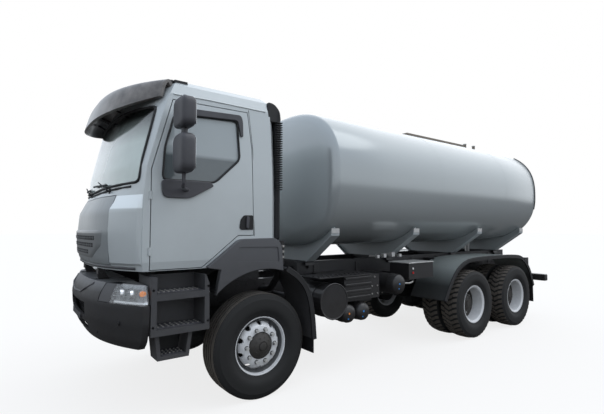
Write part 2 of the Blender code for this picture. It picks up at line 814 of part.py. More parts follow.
def pane(name, opening):
    """The part of a thin skin just inside the cab's outer face that lies within an opening."""
    inner = cab_body("behind_glass", GLASS_INSET + GLASS_THICKNESS, CAB_FLOOR_Z + OVERRUN,
                     CAB_ROOF_Z - OVERRUN)
    return common(cut(cab_body(name, GLASS_INSET), inner), opening)


def windscreen():
    return [pane("windscreen", front_prism("screen", shrunk(SCREEN_OUTLINE, GLASS_GAP)))]


def front_panel(wall):
    panel = common(copied(wall, "front_panel"), front_prism("panel_cutter",
                                                            shrunk(panel_outline(), PANEL_GAP)))
    panel = cut(panel, cab_body("over_floor", CAB_WALL, CAB_FLOOR_Z, SCREEN_OUTLINE[0][1]))
    shield = common(cab_body("shield", -SHIELD_DEPTH), front_prism("shield_cutter", SHIELD_OUTLINE))
    shield = cut(shield, cab_body("behind_shield", FUSE))
    panel = unite(panel, shield)
    slots = []
    for row, height in enumerate(SLOT_ROWS):
        for side in (LEFT, RIGHT):
            for place in range(SLOTS_EACH_SIDE[row]):
                middle = side * SLOT_PITCH * (place + 0.5)
                low = (middle - SLOT_WIDTH / 2, -FRONT_OVERHANG, height)
                high = (middle + SLOT_WIDTH / 2, CAB_SECTIONS[1][2] + CAB_WALL / 2, height + SLOT_HEIGHT)
                slots.append(box("slot", low, high))
    return [cut(panel, *slots)]


def door(wall):
    inside = DOORWAY_INNER_X + SHUT_GAP
    panel = common(copied(wall, "door_left"), side_prism("door_cutter", shrunk(DOOR_OUTLINE, SHUT_GAP),
                                                         inside))
    panel = cut(panel, cab_body("over_sill", CAB_WALL, CAB_FLOOR_Z, SCREEN_OUTLINE[0][1]))
    panel = cut(panel, side_prism("door_window", DOOR_WINDOW, DOORWAY_INNER_X))
    panel = unite(panel, *door_barrels("barrel"))
    glass = pane("door_glass_left", side_prism("pane", shrunk(DOOR_WINDOW, GLASS_GAP), inside))
    return [panel, mirrored(panel, "door_right"), glass, mirrored(glass, "door_glass_right")]


def mirrors():
    base = side_prism("mirror_left", MIRROR_BASE_OUTLINE, CAB_SECTIONS[1][1] + SEAT_GAP,
                      CAB_SECTIONS[1][1] + MIRROR_BASE_THICKNESS)
    foot = (CAB_SECTIONS[1][1] + MIRROR_BASE_THICKNESS / 2, MIRROR_Y + MIRROR_WIDTH / 2, MIRROR_ARM_FOOT_Z)
    arm = rod("arm", foot, (MIRROR_X, MIRROR_Y, MIRROR_ARM_FOOT_Z), MIRROR_ARM_RADIUS * 0.9, sides=8)
    post = rod("post", (MIRROR_X, MIRROR_Y, MIRROR_ARM_FOOT_Z - MIRROR_ARM_RADIUS * 2),
               (MIRROR_X, MIRROR_Y, MIRROR_ARM_TOP_Z), MIRROR_ARM_RADIUS)
    pieces = []
    for low, high in MIRROR_SPANS:
        corner = (MIRROR_X - MIRROR_WIDTH / 2, MIRROR_Y - MIRROR_DEPTH / 2, low)
        far = (MIRROR_X + MIRROR_WIDTH / 2, MIRROR_Y + MIRROR_DEPTH / 2, high)
        pieces.append(rounded(box("housing", corner, far), MIRROR_EDGE))
    left = unite(base, arm, post, *pieces)
    return [left, mirrored(left, "mirror_right")]


def arch_points(start, end, radius, steps=ARCH_STEPS):
    """Points on a circle about the front wheel, from one angle to another."""
    angles = [start + (end - start) * step / steps for step in range(steps + 1)]
    return [(radius * math.cos(angle), WHEEL_Z + radius * math.sin(angle)) for angle in angles]


def wings():
    front, rear = WING_OUTLINE[0], WING_OUTLINE[-1]
    start = math.atan2(front[1] - WHEEL_Z, front[0])
    end = math.atan2(rear[1] - WHEEL_Z, rear[0])
    arc = arch_points(end, start, ARCH_RADIUS)[1:-1]
    skin = side_prism("wing_left", WING_OUTLINE + tuple(arc), CAB_SECTIONS[1][1] + SEAT_GAP, WING_OUTER_X)
    start -= LINER_SETBACK_ANGLE
    end += LINER_SETBACK_ANGLE
    inner_arc = arch_points(end, start, ARCH_RADIUS + FUSE)
    outer_arc = arch_points(start, end, ARCH_RADIUS + ARCH_WALL)
    liner = side_prism("liner", inner_arc + outer_arc, WING_INNER_X, WING_OUTER_X - FUSE)
    recess = side_prism("recess", WING_RECESS, WING_OUTER_X - WING_RECESS_DEPTH)
    left = cut(unite(skin, liner), recess)
    return [left, mirrored(left, "wing_right")]


def visor():
    """A bent band that stands on the roof's front edge and hangs over the windscreen."""
    rings = []
    for share in VISOR_STATIONS_SHARES:
        bow = abs(share) ** CAB_FRONT_CURVE
        path = [(front + setback * bow, height + rise * bow) for front, height, setback, rise in VISOR_LINES]
        rings.append([(share * VISOR_HALF_WIDTH, y, z)
                      for y, z in reversed(sheet_outline(path, -VISOR_WALL))])
    body = loft("sun_visor", rings, split=True)
    return [cut(body, cab_body("visor_seat", -SEAT_GAP))]


def seats():
    pieces = []
    floor = CAB_FLOOR_Z + CAB_FLOOR_THICKNESS
    for side in (LEFT, RIGHT):
        low_x, high_x = sorted((side * (SEAT_X - SEAT_WIDTH / 2), side * (SEAT_X + SEAT_WIDTH / 2)))
        cushion = box("cushion", (low_x, SEAT_FRONT, SEAT_BASE_Z),
                      (high_x, SEAT_REAR, SEAT_BASE_Z + SEAT_CUSHION))
        back = box("back", (low_x, SEAT_REAR - SEAT_BACK_THICKNESS, SEAT_BASE_Z),
                   (high_x, SEAT_REAR, SEAT_BACK_TOP_Z))
        pieces += [rounded(cushion, SEAT_EDGE), rounded(back, SEAT_EDGE)]
        middle = side * SEAT_X
        pieces.append(box("foot", (middle - SEAT_FOOT_WIDTH / 2, SEAT_FRONT + SEAT_EDGE * 2,
                                   floor + SEAT_GAP),
                          (middle + SEAT_FOOT_WIDTH / 2, SEAT_REAR - SEAT_EDGE * 2, SEAT_BASE_Z + FUSE)))
    base = box("seats", (-SEAT_X, SEAT_FRONT + SEAT_EDGE * 3, floor + SEAT_GAP),
               (SEAT_X, SEAT_REAR - SEAT_EDGE * 3, floor + SEAT_CUSHION))
    return [unite(base, *pieces)]


def dashboard():
    floor = CAB_FLOOR_Z + CAB_FLOOR_THICKNESS
    body = box("dashboard", (-DASH_HALF_WIDTH, DASH_FRONT, DASH_FOOT_Z),
               (DASH_HALF_WIDTH, DASH_REAR, DASH_TOP_Z))
    body = common(rounded(body, SEAT_EDGE), cab_body("cabin", CAB_WALL + SHUT_GAP))
    leg = box("leg", (-SEAT_FOOT_WIDTH, DASH_FRONT + SEAT_EDGE, floor + SEAT_GAP),
              (SEAT_FOOT_WIDTH, DASH_REAR - SEAT_EDGE, DASH_FOOT_Z + SEAT_EDGE))
    tilt = Matrix.Rotation(STEERING_TILT, 3, "X")
    centre = Vector((SEAT_X, STEERING_Y, STEERING_Z))
    ring = [centre + tilt @ Vector((math.cos(turn) * STEERING_RADIUS, math.sin(turn) * STEERING_RADIUS, 0))
            for turn in [math.tau * step / WHEEL_STEPS for step in range(WHEEL_STEPS)]]
    rim = loft_ring("steering_rim", ring, centre, STEERING_RIM)
    column_end = Vector((SEAT_X, DASH_REAR - SEAT_EDGE, DASH_TOP_Z - SEAT_CUSHION))
    column = rod("column", column_end, centre, STEERING_RIM * 2)
    spoke = rod("spoke", ring[0], ring[WHEEL_STEPS // 2], STEERING_RIM, sides=8)
    return [unite(body, leg, column, spoke, rim)]


def loft_ring(name, ring, centre, radius, sides=6):
    """A closed hoop of round section through the points of a ring."""
    shape = bmesh.new()
    normal = (ring[1] - centre).cross(ring[0] - centre).normalized()
    rows = []
    for point in ring:
        out = (point - centre).normalized()
        turns = [math.tau * side / sides for side in range(sides)]
        rows.append([shape.verts.new(point + out * radius * math.cos(t) + normal * radius * math.sin(t))
                     for t in turns])
    for first, second in zip(rows, rows[1:] + rows[:1]):
        for index in range(sides):
            after = (index + 1) % sides
            shape.faces.new((first[index], first[after], second[after], second[index]))
    return from_bmesh(name, shape)


def intake():
    body = box("air_intake", (INTAKE_INNER_X, INTAKE_FRONT + SEAT_GAP, INTAKE_FOOT_Z),
               (INTAKE_OUTER_X, INTAKE_REAR, INTAKE_TOP_Z))
    return [rounded(body, SEAT_EDGE, 1)]


def bumper_and_lamps():
    shell = plan_body("front_bumper", BUMPER_SECTIONS, BUMPER_CURVE)
    foot, top = BUMPER_SECTIONS[0][0], BUMPER_SECTIONS[-1][0]
    hollow_sections = [(z, half - BUMPER_WALL, front + BUMPER_WALL, corner + BUMPER_WALL,
                        back + 4 * BUMPER_WALL)
                       for z, half, front, corner, back in BUMPER_SECTIONS]
    hollow = plan_body("hollow", hollow_sections, BUMPER_CURVE, 0.0, foot + BUMPER_WALL, top - BUMPER_WALL)
    lamp_low = (LAMP_INNER_X, -FRONT_OVERHANG, LAMP_FOOT_Z)
    lamp_high = (WING_OUTER_X + OVERRUN, BUMPER_SECTIONS[0][4] + OVERRUN, LAMP_TOP_Z + OVERRUN)
    pocket = box("lamp_pocket", lamp_low, lamp_high)
    grilles = [box("aperture", (-GRILLE_HALF_WIDTH, -FRONT_OVERHANG - OVERRUN, low),
                   (GRILLE_HALF_WIDTH, BUMPER_SECTIONS[3][2] + 2 * BUMPER_WALL, high))
               for low, high in GRILLE_ROWS]
    lamp_body = plan_body("headlamp_left", BUMPER_SECTIONS, BUMPER_CURVE, 2 * SEAT_GAP)
    seat = box("lamp_seat", (LAMP_INNER_X + SEAT_GAP, -FRONT_OVERHANG, LAMP_FOOT_Z + SEAT_GAP),
               (WING_OUTER_X, BUMPER_SECTIONS[0][4] - FUSE, LAMP_TOP_Z + OVERRUN))
    lamp = common(lamp_body, seat)
    notch = box("tilt_notch", (TILT_PLATE_X - 2 * FUSE, CAB_HINGE_Y - 2 * TILT_LUG_HALF_LENGTH, LAMP_FOOT_Z),
                (TILT_LUG_X + TILT_LUG_WIDTH + 4 * FUSE, BUMPER_SECTIONS[0][4] + OVERRUN,
                 LAMP_TOP_Z + OVERRUN))
    pockets = [pocket, mirrored(pocket, "right_pocket"), notch, mirrored(notch, "right_notch")]
    shell = cut(shell, hollow, *pockets, *grilles)
    half = BUMPER_BRACKET_WIDTH / 2
    brackets = [box("bracket", (side * BUMPER_BRACKET_X - half, BUMPER_SECTIONS[3][2] + BUMPER_WALL / 2,
                     BUMPER_BRACKET_FOOT_Z),
                    (side * BUMPER_BRACKET_X + half, RAIL_FRONT - SEAT_GAP, BUMPER_BRACKET_TOP_Z))
                for side in (LEFT, RIGHT)]
    shell = unite(shell, *brackets)
    return [shell, lamp, mirrored(lamp, "headlamp_right")]


def steps():
    body = side_prism("step_module_left", STEP_OUTLINE, STEP_INNER_X, WING_OUTER_X)
    pockets = [box("pocket", (STEP_POCKET_X, STEP_FRONT + STEP_WALL, low),
                   (WING_OUTER_X + OVERRUN, STEP_REAR - STEP_WALL, high)) for low, high in STEP_POCKETS]
    hanger = side_prism("hanging_step", HANGING_STEP_OUTLINE, HANGING_STEP_INNER_X, HANGING_STEP_OUTER_X)
    hanger = cut(hanger, side_prism("foot_space", HANGING_STEP_HOLE, HANGING_STEP_INNER_X - OVERRUN))
    beam = box("beam", (RAIL_OUTER_X + SEAT_GAP, STEP_BEAM_Y, STEP_BEAM_Z),
               (STEP_INNER_X + FUSE, STEP_BEAM_Y + STEP_BEAM_SECTION, STEP_BEAM_Z + STEP_BEAM_SECTION))
    left = unite(cut(body, *pockets), hanger, beam)
    return [left, mirrored(left, "step_module_right")]


def guard(name, path, inner_x, outer_x, arms, flap_foot):
    """A bent mudguard sheet with an outer lip, a hanging flap and the arms that carry it."""
    sheet = side_prism(name, sheet_outline(path, GUARD_WALL), inner_x, outer_x)
    lip = side_prism("lip", sheet_outline(path, GUARD_LIP), outer_x - GUARD_LIP_WALL, outer_x - FUSE / 2)
    end_y, end_z = path[-1]
    flap = box("flap", (inner_x + GUARD_WALL, end_y - GUARD_WALL + FUSE, flap_foot),
               (outer_x - GUARD_WALL, end_y - GUARD_WALL + FUSE + FLAP_WALL, end_z + GUARD_LIP))
    return unite(sheet, lip, flap, *arms)


def front_guards():
    reach = (GUARD_PATH[2][0] + GUARD_PATH[3][0]) / 2
    height = (GUARD_PATH[2][1] + GUARD_PATH[3][1]) / 2
    arm = rod("arm", (RAIL_OUTER_X + SEAT_GAP, reach, height), (WING_OUTER_X - OVERRUN, reach, height),
              ARM_RADIUS, sides=8)
    left = guard("front_mudguard_left", GUARD_PATH, WING_INNER_X + OVERRUN, WING_OUTER_X, [arm], FLAP_FOOT_Z)
    return [left, mirrored(left, "front_mudguard_right")]


def rear_guards():
    arms = []
    for place in REAR_GUARD_ARMS:
        half = REAR_GUARD_ARM_SECTION / 2
        arms.append(box("arm", (RAIL_OUTER_X + FUSE + SEAT_GAP, place - half, REAR_GUARD_ARM_Z),
                        (REAR_GUARD_INNER_X + OVERRUN, place + half,
                         REAR_GUARD_PATH[3][1] - GUARD_WALL / 2)))
    left = guard("rear_mudguard_left", REAR_GUARD_PATH, REAR_GUARD_INNER_X, REAR_GUARD_OUTER_X, arms,
                 REAR_FLAP_FOOT_Z)
    return [left, mirrored(left, "rear_mudguard_right")]


def rail(side):
    outer, inner = RAIL_OUTER_X, RAIL_OUTER_X - RAIL_FLANGE
    web = outer - RAIL_WALL
    low, high = RAIL_TOP_Z - RAIL_HEIGHT, RAIL_TOP_Z
    outline = [(outer, low), (outer, high), (inner, high), (inner, high - RAIL_WALL),
               (web, high - RAIL_WALL),
               (web, low + RAIL_WALL), (inner, low + RAIL_WALL), (inner, low)]
    return prism("chassis_frame", [(side * x, z) for x, z in outline], "Y", RAIL_FRONT, RAIL_REAR)


def chassis_frame():
    web = RAIL_OUTER_X - RAIL_WALL / 2
    members = [box("member", (-web, place, CROSSMEMBER_Z - CROSSMEMBER_HEIGHT / 2),
                   (web, place + CROSSMEMBER_WIDTH, CROSSMEMBER_Z + CROSSMEMBER_HEIGHT / 2))
               for place in CROSSMEMBERS]
    hangers = []
    foot = FRONT_SPRING_EYE_Z + SPRING_END + SEAT_GAP
    for side in (LEFT, RIGHT):
        for place in (-FRONT_SPRING_REACH, FRONT_SPRING_REACH - HANGER_LENGTH):
            low_x, high_x = sorted((side * (SPRING_X - SPRING_WIDTH / 2),
                                    side * (SPRING_X + SPRING_WIDTH / 2)))
            hangers.append(box("hanger", (low_x, place, foot),
                               (high_x, place + HANGER_LENGTH, RAIL_TOP_Z - RAIL_HEIGHT + RAIL_WALL / 2)))
    return [unite(rail(LEFT), rail(RIGHT), *members, *hangers, *tilt_brackets())]


def tank_point(turn, scale=1.0, gap=0.0):
    """A point of the tank's section: a rounded box whose squareness lies between an oval and a rectangle."""
    power = 2 / TANK_SQUARENESS
    c, s = math.cos(turn), math.sin(turn)
    x = (TANK_HALF_WIDTH * scale + gap) * math.copysign(abs(c) ** power, c)
    z = (TANK_HALF_HEIGHT * scale + gap) * math.copysign(abs(s) ** power, s)
    return x, TANK_CENTRE_Z + z


def tank_turns():
    return [math.tau * (side + 0.5) / TANK_SIDES for side in range(TANK_SIDES)]


# Dished ends, columns: share of the section, share of the dish's depth
DISH_SHARES = ((0.30, 1.0), (0.60, 0.86), (0.84, 0.60), (0.94, 0.40), (0.985, 0.18), (1.0, 0.0))


def tank_body(name, gap=0.0):
    stations = [(scale, TANK_FRONT - gap - TANK_DISH * depth) for scale, depth in DISH_SHARES]
    stations += [(scale, TANK_REAR + gap + TANK_DISH * depth) for scale, depth in reversed(DISH_SHARES)]
    rings = []
    for scale, y in stations:
        section = [tank_point(turn, scale, gap) for turn in tank_turns()]
        rings.append([(x, y, z) for x, z in section])
    return loft(name, rings)


def tank():
    return [tank_body("tank")]


def off_tank(obj):
    """The piece with everything that would reach into the tank taken away."""
    return cut(obj, tank_body("tank_seat", SEAT_GAP))


def saddle(place):
    """A cross plate that cups the tank, with a flange along each sloping edge."""
    cup = [tank_point(turn, 1.0, SEAT_GAP * 2) for turn in tank_turns()]
    cup = [(x, z) for x, z in cup if z < TANK_CENTRE_Z and abs(x) < SADDLE_REACH]
    cup.sort()
    rim = [(-SADDLE_REACH, cup[0][1]), *cup, (SADDLE_REACH, cup[-1][1])]
    foot = [(SADDLE_REACH, SADDLE_TIP_Z), (SADDLE_ROOT_X, SUBFRAME_TOP_Z), (SADDLE_ROOT_X, SADDLE_FOOT_Z),
            (-SADDLE_ROOT_X, SADDLE_FOOT_Z), (-SADDLE_ROOT_X, SUBFRAME_TOP_Z), (-SADDLE_REACH, SADDLE_TIP_Z)]
    half = SADDLE_PLATE / 2
    pieces = [prism("saddle", foot + rim, "Y", place - half, place + half)]
    flange = sheet_outline(((SADDLE_ROOT_X, SUBFRAME_TOP_Z - OVERRUN), (SADDLE_ROOT_X, SUBFRAME_TOP_Z),
                            (SADDLE_REACH, SADDLE_TIP_Z), (SADDLE_REACH, SADDLE_TIP_Z + OVERRUN)),
                           SADDLE_FLANGE_THICKNESS)
    wide = SADDLE_FLANGE_WIDTH / 2
    left = prism("flange", flange, "Y", place - wide, place + wide)
    return pieces + [left, mirrored(left, "flange_right")]


def subframe():
    outer = RAIL_OUTER_X + FUSE
    beams = []
    for side in (LEFT, RIGHT):
        low_x, high_x = sorted((side * (outer - SUBFRAME_WIDTH), side * outer))
        beams.append(box("subframe", (low_x, SUBFRAME_FRONT, RAIL_TOP_Z + SEAT_GAP),
                         (high_x, RAIL_REAR, SUBFRAME_TOP_Z)))
    pieces = []
    for place in SADDLES:
        pieces += saddle(place)
    return [unite(beams[0], beams[1], *pieces)]


def tank_fittings():
    half = COAMING_SECTION / 2
    foot = TANK_CENTRE_Z + TANK_HALF_HEIGHT / 2
    rails = [box("tank_coaming", (side * COAMING_X - half, COAMING_FRONT, foot),
                 (side * COAMING_X + half, COAMING_REAR, COAMING_TOP_Z)) for side in (LEFT, RIGHT)]
    ends = [box("end", (-COAMING_X, place, foot), (COAMING_X, place + COAMING_SECTION, COAMING_TOP_Z))
            for place in (COAMING_FRONT, COAMING_REAR - COAMING_SECTION)]
    neck = rod("neck", (0, MANHOLE_Y, foot), (0, MANHOLE_Y, MANHOLE_TOP_Z), MANHOLE_RADIUS,
               sides=WHEEL_STEPS)
    bridge = box("bridge", (-COAMING_X, MANHOLE_Y - half, foot),
                 (COAMING_X, MANHOLE_Y + half, COAMING_TOP_Z - FUSE))
    ear = box("ear", (LID_HINGE_X - LID_HINGE_RADIUS, MANHOLE_Y - half, COAMING_TOP_Z - COAMING_SECTION),
              (LID_HINGE_X + LID_HINGE_RADIUS, MANHOLE_Y + half, MANHOLE_TOP_Z - FUSE))
    spine = box("spine", (VENT_X - half, COAMING_REAR - FUSE, foot),
                (VENT_X + half, VENTS[-1] + VENT_RADIUS * 2, COAMING_TOP_Z - COAMING_SECTION / 2))
    vents = [rod("vent", (VENT_X, place, foot), (VENT_X, place, VENT_TOP_Z), VENT_RADIUS, sides=8)
             for place in VENTS]
    body = unite(rails[0], rails[1], *ends, neck, bridge, ear, spine, *vents)
    body = off_tank(body)
    lid = rod("manhole_lid", (0, MANHOLE_Y, MANHOLE_TOP_Z + SEAT_GAP),
              (0, MANHOLE_Y, MANHOLE_TOP_Z + SEAT_GAP + LID_THICKNESS), LID_RADIUS, sides=WHEEL_STEPS)
    barrel_z = MANHOLE_TOP_Z + SEAT_GAP + LID_HINGE_RADIUS
    barrel = rod("barrel", (LID_HINGE_X, MANHOLE_Y - half, barrel_z),
                 (LID_HINGE_X, MANHOLE_Y + half, barrel_z),
                 LID_HINGE_RADIUS, sides=8)
    strap = box("strap", (LID_HINGE_X, MANHOLE_Y - half, MANHOLE_TOP_Z + SEAT_GAP + FUSE),
                (0, MANHOLE_Y + half, MANHOLE_TOP_Z + SEAT_GAP + LID_THICKNESS + FUSE))
    return [body, unite(lid, barrel, strap)]


def ladder():
    left, right = LADDER_X - LADDER_HALF_WIDTH, LADDER_X + LADDER_HALF_WIDTH
    tie_z = LADDER_TOP_Z - LADDER_RADIUS * 2
    rungs = []
    rails = []
    for x in (left, right):
        rails.append(rod("rail", (x, LADDER_Y, LADDER_FOOT_Z), (x, LADDER_Y, LADDER_TOP_Z), LADDER_RADIUS,
                         sides=8))
        rails.append(rod("tie", (x, LADDER_Y, tie_z), (x, TANK_REAR, tie_z), LADDER_RADIUS * 0.8, sides=6))
    rise = (tie_z - LADDER_FOOT_Z) / (LADDER_RUNGS + 0.5)
    for step in range(LADDER_RUNGS):
        z = LADDER_FOOT_Z + rise * (step + 0.7)
        rungs.append(rod("ladder", (left, LADDER_Y, z), (right, LADDER_Y, z), LADDER_RADIUS * 0.8, sides=6))
    return [off_tank(unite(rungs[0], *rails, *rungs[1:]))]


def outlet():
    top = TANK_CENTRE_Z - TANK_HALF_HEIGHT + OVERRUN
    path = ((0, OUTLET_Y, top), (0, OUTLET_Y, OUTLET_Z + OUTLET_RADIUS),
            (0, OUTLET_Y + OUTLET_RADIUS, OUTLET_Z),
            (0, OUTLET_END - OUTLET_FLANGE * 3, OUTLET_Z))
    pipe = tube("outlet_pipe", path, OUTLET_RADIUS)
    stub = rod("stub", path[-1], (0, OUTLET_END + OUTLET_FLANGE / 2, OUTLET_Z), OUTLET_RADIUS - FUSE,
               sides=16)
    flanges = [rod("flange", (0, place, OUTLET_Z), (0, place + OUTLET_FLANGE, OUTLET_Z),
                   OUTLET_FLANGE_RADIUS, sides=16)
               for place in (OUTLET_END - OUTLET_FLANGE * 5, OUTLET_END - FUSE)]
    half = OUTLET_RADIUS + FUSE
    valve = box("valve", (-half, OUTLET_END - OUTLET_FLANGE * 4.5, OUTLET_Z - half),
                (half, OUTLET_END - OUTLET_FLANGE * 2, OUTLET_Z + half))
    return [off_tank(unite(pipe, valve, stub, *flanges))]


def rear_underrun():
    rear = WHEELBASE + BOGIE_SPACING + REAR_OVERHANG
    bar = rounded(box("rear_underrun", (-UNDERRUN_HALF_WIDTH, UNDERRUN_FRONT, UNDERRUN_FOOT_Z),
                      (UNDERRUN_HALF_WIDTH, rear, UNDERRUN_TOP_Z)), FUSE * 3, 1)
    beam = box("beam", (-REAR_LAMP_INNER_X - OVERRUN, REAR_BEAM_FRONT, REAR_BEAM_FOOT_Z),
               (REAR_LAMP_INNER_X + OVERRUN, REAR_BEAM_REAR, REAR_BEAM_TOP_Z))
    pieces = [beam]
    for side in (LEFT, RIGHT):
        low_x, high_x = sorted((side * REAR_LAMP_INNER_X, side * REAR_LAMP_OUTER_X))
        pieces.append(box("lamp", (low_x, REAR_BEAM_FRONT, REAR_LAMP_FOOT_Z),
                          (high_x, REAR_LAMP_REAR, REAR_LAMP_TOP_Z)))
        inner = side * UNDERRUN_BRACKET_X
        outline = ((REAR_BEAM_FRONT, REAR_BEAM_TOP_Z - FUSE), (REAR_BEAM_FRONT, REAR_BEAM_FOOT_Z - OVERRUN),
                   (UNDERRUN_FRONT + FUSE, UNDERRUN_FOOT_Z + FUSE),
                   (UNDERRUN_FRONT + OVERRUN, UNDERRUN_TOP_Z - FUSE),
                   (REAR_BEAM_REAR - FUSE, REAR_BEAM_TOP_Z - FUSE))
        pieces.append(prism("bracket", outline, "X", inner - UNDERRUN_BRACKET_WIDTH / 2,
                            inner + UNDERRUN_BRACKET_WIDTH / 2))
    return [unite(bar, *pieces)]


def engine():
    block = box("engine", (-ENGINE_HALF_WIDTH, ENGINE_FRONT, ENGINE_FOOT_Z),
                (ENGINE_HALF_WIDTH, ENGINE_REAR, ENGINE_TOP_Z))
    gearbox = box("gearbox", (-GEARBOX_HALF_WIDTH, ENGINE_REAR - FUSE, GEARBOX_FOOT_Z),
                  (GEARBOX_HALF_WIDTH, GEARBOX_REAR, GEARBOX_TOP_Z))
    shaft = rod("shaft", (0, GEARBOX_REAR - FUSE, PROP_START_Z),
                (0, WHEELBASE - PINION_LENGTH + OVERRUN, PINION_Z), PROP_RADIUS, sides=10)
    pinion = WHEELBASE - PINION_LENGTH - SEAT_GAP
    shaft = cut(shaft, box("pinion_face", (-PINION_Z, pinion, 0),
                           (PINION_Z, pinion + PINION_LENGTH, RAIL_TOP_Z)))
    half = ENGINE_MOUNT_SECTION / 2
    web = RAIL_OUTER_X - RAIL_FLANGE - SEAT_GAP
    mounts = [box("mount", (-web, place - half, ENGINE_MOUNT_Z - half),
                  (web, place + half, ENGINE_MOUNT_Z + half))
              for place in ENGINE_MOUNT_Y]
    return [unite(block, gearbox, shaft, *mounts)]


def spring_outline(centre, reach, end_z, sag, inverted=False):
    """A leaf pack in side view: thin at its ends, thick at its middle."""
    top, foot = [], []
    sign = -1 if inverted else 1
    for step in range(SPRING_STEPS + 1):
        share = 2 * step / SPRING_STEPS - 1
        middle = end_z - sign * sag * (1 - share * share)
        pack = SPRING_END + (SPRING_PACK - SPRING_END) * (1 - abs(share))
        top.append((centre + share * reach, middle + SPRING_END))
        foot.append((centre + share * reach, middle + SPRING_END - pack))
    return top + foot[::-1]


def front_axle():
    height = AXLE_BEAM_HEIGHT
    half = [(x, z) for x, z in AXLE_BEAM_OUTLINE]
    upper = [(x, z + (height if x < AXLE_BEAM_OUTLINE[1][0] else AXLE_FIST_HEIGHT)) for x, z in half]
    outline = half + upper[::-1] + [(-x, z) for x, z in upper] + [(-x, z) for x, z in half[::-1]]
    beam = prism("front_axle", outline, "Y", -AXLE_BEAM_WIDTH / 2, AXLE_BEAM_WIDTH / 2)
    pieces = []
    for side in (LEFT, RIGHT):
        x = side * KINGPIN_X
        pieces.append(rod("fist", (x, 0, WHEEL_Z - FIST_HALF_HEIGHT), (x, 0, WHEEL_Z + FIST_HALF_HEIGHT),
                          KINGPIN_RADIUS))
        low_x, high_x = sorted((side * (SPRING_X - SPRING_WIDTH / 2), side * (SPRING_X + SPRING_WIDTH / 2)))
        outline = spring_outline(0, FRONT_SPRING_REACH, FRONT_SPRING_EYE_Z, FRONT_SPRING_SAG)
        pieces.append(prism("spring", outline, "X", low_x, high_x))
    return [unite(beam, *pieces)]


def knuckles():
    gap = SEAT_GAP
    x = KINGPIN_X
    fist = WHEEL_Z
    lugs = [rod("knuckle_left", (x, 0, fist + FIST_HALF_HEIGHT + gap),
                (x, 0, fist + FIST_HALF_HEIGHT + LUG_THICKNESS), KINGPIN_RADIUS),
            rod("lug", (x, 0, fist - FIST_HALF_HEIGHT - LUG_THICKNESS),
                (x, 0, fist - FIST_HALF_HEIGHT - gap),
                KINGPIN_RADIUS)]
    reach = FIST_HALF_HEIGHT + LUG_THICKNESS
    wide = KNUCKLE_WEB_HALF_WIDTH
    web = box("web", (KNUCKLE_WEB_X, -wide, fist - reach), (KNUCKLE_WEB_X + KNUCKLE_WEB_THICKNESS, wide,
                                                            fist + reach))
    ribs = [box("rib", (x, -KINGPIN_RADIUS / 2, low), (KNUCKLE_WEB_X + FUSE, KINGPIN_RADIUS / 2,
                                                       low + LUG_THICKNESS - gap))
            for low in (fist - reach, fist + FIST_HALF_HEIGHT + gap)]
    spindle_end = FRONT_WHEEL_X - FRONT_HUB_BACK + FRONT_BORE_DEPTH - BORE_END_GAP
    spindle = rod("spindle", (KNUCKLE_WEB_X + FUSE, 0, fist), (spindle_end, 0, fist), SPINDLE_RADIUS,
                  sides=WHEEL_STEPS)
    section = STEERING_ARM_SECTION / 2
    arm = box("arm", (x - section, 0, STEERING_ARM_Z - section), (x + section, ARM_LENGTH + section * 1.5,
                                                                  STEERING_ARM_Z + section))
    left = unite(lugs[0], lugs[1], web, *ribs, spindle, arm)
    return [left, mirrored(left, "knuckle_right")]


def tie_rod():
    """A rod under the two steering arms, with an eye below each arm's end."""
    top = STEERING_ARM_Z - STEERING_ARM_SECTION / 2 - TIE_ROD_CLEARANCE
    z = top - TIE_ROD_EYE
    bar = rod("tie_rod", (-KINGPIN_X, ARM_LENGTH, z), (KINGPIN_X, ARM_LENGTH, z), TIE_ROD_RADIUS, sides=8)
    eyes = [rod("eye", (side * KINGPIN_X, ARM_LENGTH, z - TIE_ROD_EYE), (side * KINGPIN_X, ARM_LENGTH, top),
                TIE_ROD_EYE,
                sides=10) for side in (LEFT, RIGHT)]
    return [unite(bar, *eyes)]


def tyre(name, x, y):
    half, tread, bead = TYRE_WIDTH / 2, TREAD_WIDTH / 2, RIM_WIDTH / 2
    height = TYRE_RADIUS - RIM_RADIUS
    # Half of the section, columns: distance from the middle plane, radius
    side = (
        (tread, TYRE_RADIUS),
        (half - height / 15, TYRE_RADIUS - height / 12),
        (half, TYRE_RADIUS - height / 2),
        (half - height / 14, RIM_RADIUS + height / 5),
        (bead, RIM_RADIUS),
    )
    profile = [(-along, radius) for along, radius in reversed(side)] + list(side)
    return turned(name, profile, (x, y, WHEEL_Z), ring=True)


